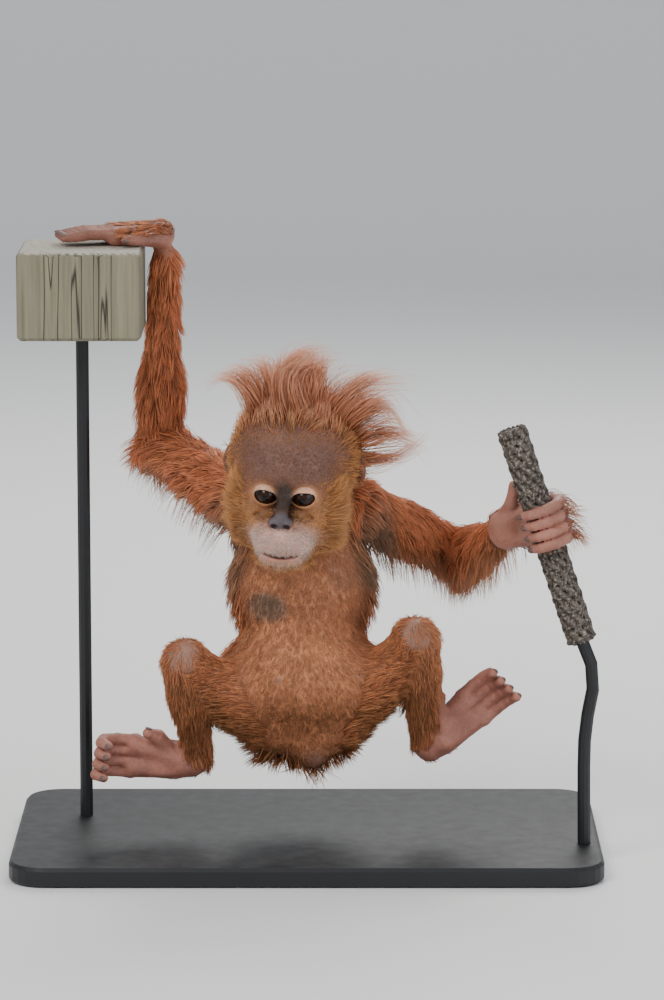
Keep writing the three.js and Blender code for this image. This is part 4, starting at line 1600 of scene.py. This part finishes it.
def makeCoat(seedbed, material):
    for name, (piece, weightOf, lengthOf) in furPieces.items():
        count = int(piece["count"] * quickShare)
        roots, normals, partOf = sow(seedbed, count, weightOf)
        length = lengthOf(roots, normals, partOf) * rng.uniform(0.7, 1.15, count)
        flow = furFlow(roots, normals, partOf)
        paths = clumped(growPaths(roots, normals, flow, length, piece), piece["clump"])
        radius = piece["radius"] * rng.uniform(0.7, 1.2, count)
        colours = furColours(roots, normals, partOf)
        made = bladesOf(name, clearOfPerches(paths), normals, radius, colours, chartPlace(roots, partOf))
        finishCoat(made, material)


# The crest: long locks that stand up from the crown and curl over.
crest = {
    "count": 3400,
    "steps": 8,
    "radius": 0.34,
    "clump": 0.5,
    "clumpOf": 16,
    "reach": (0.42, 0.72),  # shortest, and how much longer the longest is
    "gather": 0.45,
    "spread": 11,
    "curl": 12,
    "curlTurn": 3.4,
}
crestLocks = [  # root, bend, tip, hook of the tip, thickness and share of the hair
    ((2, -8, 58), (-16, -2, 96), (-4, 0, 130), (30, 0, -14), 11, 2.0),
    ((6, 4, 58), (18, 6, 96), (14, 8, 118), (16, 0, -18), 11, 1.2),
    ((-30, 4, 50), (-48, 8, 84), (-66, 8, 100), (-14, 0, -30), 9, 0.9),
    ((-20, 16, 54), (-34, 24, 84), (-36, 34, 104), (-16, 0, -16), 11, 0.9),
    ((32, 6, 50), (54, 10, 88), (82, 14, 96), (16, 0, -10), 10, 1.1),
    ((44, 10, 42), (78, 14, 74), (94, 18, 66), (2, 0, -32), 10, 0.9),
    ((52, 16, 26), (88, 22, 42), (108, 26, 34), (8, 0, -20), 8, 0.6),
    ((54, 18, 6), (84, 24, 10), (110, 26, 6), (8, 0, 26), 8, 0.5),
    ((10, 40, 56), (12, 58, 82), (10, 76, 98), (0, 10, -26), 13, 1),
    ((-24, 50, 40), (-36, 74, 54), (-44, 88, 50), (-6, 0, -28), 13, 1),
    ((30, 50, 38), (44, 74, 50), (54, 88, 44), (6, 0, -28), 13, 1),
]


def lockPaths(lock, roots, normals):
    root, bend, tip = (fromHead(spot) for spot in lock[:3])
    hook = np.asarray(lock[3], float) @ headTurn.T
    count = len(roots)
    shortest, more = crest["reach"]
    reach = shortest + more * rng.uniform(0, 1, (count, 1)) ** 1.4
    drift = unit(rng.normal(0, 1, (count, 3))) * rng.uniform(0.1, 1, (count, 1))
    swing = rng.uniform(0, 2 * math.pi, (count, 1))
    turned = unit(np.cross(tip - root, (0, 1, 0)))
    paths = []
    for i in range(crest["steps"] + 1):
        t = i / crest["steps"] * reach
        onLock = root * (1 - t) ** 2 + bend * 2 * t * (1 - t) + tip * t * t
        offset = (roots - root) * (1 - crest["gather"] * t) + drift * crest["spread"] * t**1.5
        turn = swing + crest["curlTurn"] * t
        curl = turned * np.sin(turn) + np.array([0, 1, 0]) * np.cos(turn)
        paths.append(onLock + offset + hook * t**4 + curl * crest["curl"] * t**2)
    paths[0] = roots - normals * 0.6
    return np.array(paths)


def makeCrest(seedbed, material):
    scalp = isPart(seedbed["part"], "head")
    middle = (seedbed["a"] + seedbed["b"] + seedbed["c"]) / 3
    shares = np.array([lock[-1] for lock in crestLocks])
    counts = (crest["count"] * quickShare * shares / shares.sum()).astype(int)
    allPaths, allNormals, allParts = [], [], []
    for lock, count in zip(crestLocks, counts):
        away = np.linalg.norm(middle - fromHead(lock[0]), axis=1)
        near = hump(away, 0, lock[4]) * scalp
        roots, normals, partOf = sow(seedbed, count, lambda p, n, part, near=near: near)
        allPaths.append(lockPaths(lock, roots, normals))
        allNormals.append(normals)
        allParts.append(partOf)
    paths = clumped(np.concatenate(allPaths, 1), crest["clump"], crest["clumpOf"])
    normals, partOf = np.concatenate(allNormals), np.concatenate(allParts)
    count = paths.shape[1]
    lot = np.clip(rng.normal(1, 0.15, (count, 1)), 0.6, 1.5)
    colours = [colour * lot for colour in furTones["crest"]]
    radius = crest["radius"] * rng.uniform(0.6, 1.2, count)
    made = bladesOf("crestCoat", paths, normals, radius, colours, chartPlace(paths[0], partOf))
    finishCoat(made, material)


# The rope: sixteen strands, half wound each way, that pass over and under each other round a core.
braid = {
    "Length": 0.2004,
    "Ring radius": 0.0103,
    "Strand radius": 0.0029,
    "Lift": 0.0008,
    "Turns per metre": 9.0,
    "Strands": 16,
    "Seed": 7,
}
braidMesh = {"steps": 150, "sides": 7, "coreSides": 32, "unevenScale": 160.0, "uneven": 0.0004}


def makeBraidTree():
    tree = bpy.data.node_groups.new("ropeBraid", "GeometryNodeTree")
    sockets = {}
    for name, value in braid.items():
        kind = "NodeSocketInt" if isinstance(value, int) else "NodeSocketFloat"
        sockets[name] = tree.interface.new_socket(name=name, in_out="INPUT", socket_type=kind)
    finish = tree.interface.new_socket(name="Finish", in_out="INPUT", socket_type="NodeSocketMaterial")
    sockets["Finish"] = finish
    tree.interface.new_socket(name="Geometry", in_out="OUTPUT", socket_type="NodeSocketGeometry")
    given = tree.nodes.new("NodeGroupInput").outputs

    add, _ = toolsFor(tree)

    def calc(operation, a, b=0.0):
        return add("ShaderNodeMath", {"operation": operation}, at0=a, at1=b).outputs[0]

    end = add("ShaderNodeCombineXYZ", Z=given["Length"]).outputs[0]
    line = add("GeometryNodeCurvePrimitiveLine", End=end).outputs[0]
    fine = add("GeometryNodeResampleCurve", Curve=line, Count=braidMesh["steps"]).outputs[0]
    splines = {"domain": "SPLINE"}
    copies = add("GeometryNodeDuplicateElements", splines, Geometry=fine, Amount=given["Strands"])
    number = copies.outputs["Duplicate Index"]
    height = add("ShaderNodeSeparateXYZ", Vector=add("GeometryNodeInputPosition").outputs[0]).outputs[2]
    odd = calc("MODULO", number, 2.0)
    way = calc("SUBTRACT", 1.0, calc("MULTIPLY", odd, 2.0))
    perWay = calc("DIVIDE", given["Strands"], 2.0)
    start = calc("DIVIDE", calc("MULTIPLY", calc("FLOOR", calc("DIVIDE", number, 2.0)), math.tau), perWay)
    wound = calc("MULTIPLY", calc("MULTIPLY", height, given["Turns per metre"]), math.tau)
    angle = calc("ADD", start, calc("MULTIPLY", wound, way))
    weave = calc("MULTIPLY", calc("COSINE", calc("MULTIPLY", angle, perWay)), way)
    seeded = {"noise_dimensions": "4D"}
    rough = add("ShaderNodeTexNoise", seeded, W=given["Seed"], Scale=braidMesh["unevenScale"]).outputs[0]
    uneven = calc("MULTIPLY", calc("SUBTRACT", rough, 0.5), braidMesh["uneven"])
    reach = calc("ADD", calc("ADD", given["Ring radius"], calc("MULTIPLY", weave, given["Lift"])), uneven)
    across = calc("MULTIPLY", reach, calc("COSINE", angle))
    deep = calc("MULTIPLY", reach, calc("SINE", angle))
    place = add("ShaderNodeCombineXYZ", X=across, Y=deep, Z=height).outputs[0]
    wrapped = add("GeometryNodeSetPosition", Geometry=copies.outputs[0], Position=place).outputs[0]
    marked = add("GeometryNodeStoreNamedAttribute", Geometry=wrapped, Name="strandTone", Value=odd).outputs[0]
    sides, thickness = braidMesh["sides"], given["Strand radius"]
    section = add("GeometryNodeCurvePrimitiveCircle", Resolution=sides, Radius=thickness).outputs[0]
    strands = add("GeometryNodeCurveToMesh", Curve=marked, Profile_Curve=section, Fill_Caps=True).outputs[0]
    coreSize = {"Vertices": braidMesh["coreSides"], "Radius": given["Ring radius"], "Depth": given["Length"]}
    core = add("GeometryNodeMeshCylinder", **coreSize).outputs[0]
    lift = add("ShaderNodeCombineXYZ", Z=calc("DIVIDE", given["Length"], 2.0)).outputs[0]
    middle = add("GeometryNodeTransform", Geometry=core, Translation=lift).outputs[0]
    joined = add("GeometryNodeJoinGeometry")
    tree.links.new(strands, joined.inputs[0])
    tree.links.new(middle, joined.inputs[0])
    real = add("GeometryNodeRealizeInstances", Geometry=joined.outputs[0]).outputs[0]
    dressed = add("GeometryNodeSetMaterial", Geometry=real, Material=given["Finish"]).outputs[0]
    out = tree.nodes.new("NodeGroupOutput")
    tree.links.new(dressed, out.inputs[0])
    return tree, sockets


def makeRope(material):
    tree, sockets = makeBraidTree()
    made = newObject("braidedRope", np.zeros((3, 3)), [(0, 1, 2)])
    work = made.modifiers.new("braid", "NODES")
    work.node_group = tree
    for name, value in {**braid, "Finish": material}.items():
        work[sockets[name].identifier] = value
    bakeModifiers(made)
    points = pointsOf(made)
    first = unit(np.cross(-ropeDown, (0, 1, 0)))
    turned = points @ np.array([first, np.cross(-ropeDown, first), -ropeDown]) + ropeBottom
    made.data.vertices.foreach_set("co", (turned * metre).astype(np.float32).ravel())
    made.data.polygons.foreach_set("use_smooth", np.ones(len(made.data.polygons), bool))
    made.data.update()
    print("rope:", len(made.data.polygons))
    return made


ropeFinish = {
    "dark": tone(50, 42, 37),
    "paler": tone(78, 69, 61),
    "fleck": tone(168, 158, 146),
    "fleckPower": 3.2,
    "bump": 0.7,
    "bumpDepth": 0.0006,
    "fixed": {"Roughness": 0.86},
}


def ropeMaterial():
    made, shader, add, wire = newMaterial("braidedRope", ropeFinish["fixed"])
    coords = coordsOf(add)
    fleck = between(add, noiseOf(add, coords, 420, 4), 0.0, 1.0)
    fleck = add("ShaderNodeMath", {"operation": "POWER"}, at0=fleck, at1=ropeFinish["fleckPower"]).outputs[0]
    worn = between(add, noiseOf(add, coords, 40, 3), 0.75, 1.25)
    strand = mixedColour(add, paintOf(add, "strandTone", "Fac"), ropeFinish["dark"], ropeFinish["paler"])
    flecked = mixedColour(add, fleck, strand, ropeFinish["fleck"])
    wire(scaledColour(add, flecked, worn), shader.inputs["Base Color"])
    addBump(add, wire, shader, ropeFinish, noiseOf(add, coords, 900, 3))
    return made


# The post: weathered wood, with upright grain, long cracks and a paler top that shows its rings.
wood = {
    "top": 0.5443,  # metres
    "topEdge": 0.0012,
    "grain": (1, 1, 0.045),
    "crack": (1, 1, 0.03),
    "crackAt": 0.47,
    "crackWidth": 0.012,
    "crackTone": tone(38, 34, 28),
    "sideTones": (tone(84, 78, 60), tone(158, 152, 128)),
    "endTones": (tone(150, 142, 128), tone(188, 182, 170)),
    "heart": (0.33, 0.12, 0),
    "rings": 60,
    "roughness": (0.7, 0.9),
    "bump": 0.8,
    "bumpDepth": 0.0012,
}


def woodMaterial():
    made, shader, add, wire = newMaterial("weatheredWood", {})
    coords = coordsOf(add)
    height = add("ShaderNodeSeparateXYZ", Vector=coords).outputs[2]
    low = wood["top"] - wood["topEdge"]
    onTop = add("ShaderNodeMapRange", Value=height, at1=low, at2=wood["top"]).outputs[0]
    grain = noiseOf(add, coords, 260, 5, 0.65, wood["grain"])
    broad = noiseOf(add, coords, 45, 3, 0.6, wood["grain"])
    cracks = noiseOf(add, coords, 70, 2, 0.5, wood["crack"])
    offCrack = add("ShaderNodeMath", {"operation": "SUBTRACT"}, at0=cracks, at1=wood["crackAt"]).outputs[0]
    offCrack = add("ShaderNodeMath", {"operation": "ABSOLUTE"}, at0=offCrack).outputs[0]
    crack = add("ShaderNodeMapRange", Value=offCrack, at1=0.0, at2=wood["crackWidth"]).outputs[0]
    side = scaledColour(add, mixedColour(add, grain, *wood["sideTones"]), between(add, broad, 0.78, 1.2))
    side = mixedColour(add, crack, wood["crackTone"], side)
    place = add("ShaderNodeMapping", Vector=coords, Location=wood["heart"]).outputs[0]
    upright = {"wave_type": "RINGS", "rings_direction": "Z"}
    rings = add("ShaderNodeTexWave", upright, Vector=place, Scale=wood["rings"], Distortion=3).outputs["Fac"]
    endGrain = mixedColour(add, rings, *wood["endTones"])
    endGrain = scaledColour(add, endGrain, between(add, noiseOf(add, coords, 300, 3), 0.85, 1.1))
    wire(mixedColour(add, onTop, side, endGrain), shader.inputs["Base Color"])
    deep = add("ShaderNodeMath", {"operation": "MULTIPLY_ADD"}, at0=crack, at1=1.5, at2=grain).outputs[0]
    addBump(add, wire, shader, wood, deep)
    wire(between(add, grain, *wood["roughness"]), shader.inputs["Roughness"])
    return made


# The stand: satin black paint with a fine grit.
standPaint = {
    "tones": (tone(33, 34, 36), tone(40, 41, 43)),
    "roughness": (0.4, 0.52),
    "bump": 0.16,
    "bumpDepth": 0.0003,
    "fixed": {"Metallic": 0.35},
}


def standMaterial():
    made, shader, add, wire = newMaterial("satinBlack", standPaint["fixed"])
    coords = coordsOf(add)
    wire(mixedColour(add, noiseOf(add, coords, 18, 4), *standPaint["tones"]), shader.inputs["Base Color"])
    addBump(add, wire, shader, standPaint, noiseOf(add, coords, 1400, 2))
    wire(between(add, noiseOf(add, coords, 60, 3), *standPaint["roughness"]), shader.inputs["Roughness"])
    return made


def dressNode(name, material):
    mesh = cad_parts[name].data
    mesh.materials.clear()
    mesh.materials.append(material)


makeCamera()
makeStudio()
orangutanSkin = makeSkin()
partsApart = paintSkin(orangutanSkin)
dress(orangutanSkin, skinMaterial())
flesh = [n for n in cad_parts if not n.startswith(("stand_", "perch_", "eye_"))]
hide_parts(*flesh)
wetEye = eyeMaterial()
for name, side in (("l", 1), ("r", -1)):
    eyeBall = makeEye("eyeBall_" + name, side)
    dress(eyeBall, wetEye)
    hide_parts("eye_" + name)
digitNails = makeNails()
dress(digitNails, nailMaterial())
print("eyes and nails done")
orangutanHair = coatMaterial()
seedbed = makeSeedbed(orangutanSkin, partsApart)
makeCoat(seedbed, orangutanHair)
makeCrest(seedbed, orangutanHair)
ropeYarn = ropeMaterial()
braidedRope = makeRope(ropeYarn)
dress(braidedRope, ropeYarn)
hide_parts("perch_rope")
dressNode("perch_post", woodMaterial())
satinBlack = standMaterial()
for node in ("stand_base", "stand_rod_rope", "stand_rod_post"):
    dressNode(node, satinBlack)
print("post and stand done")
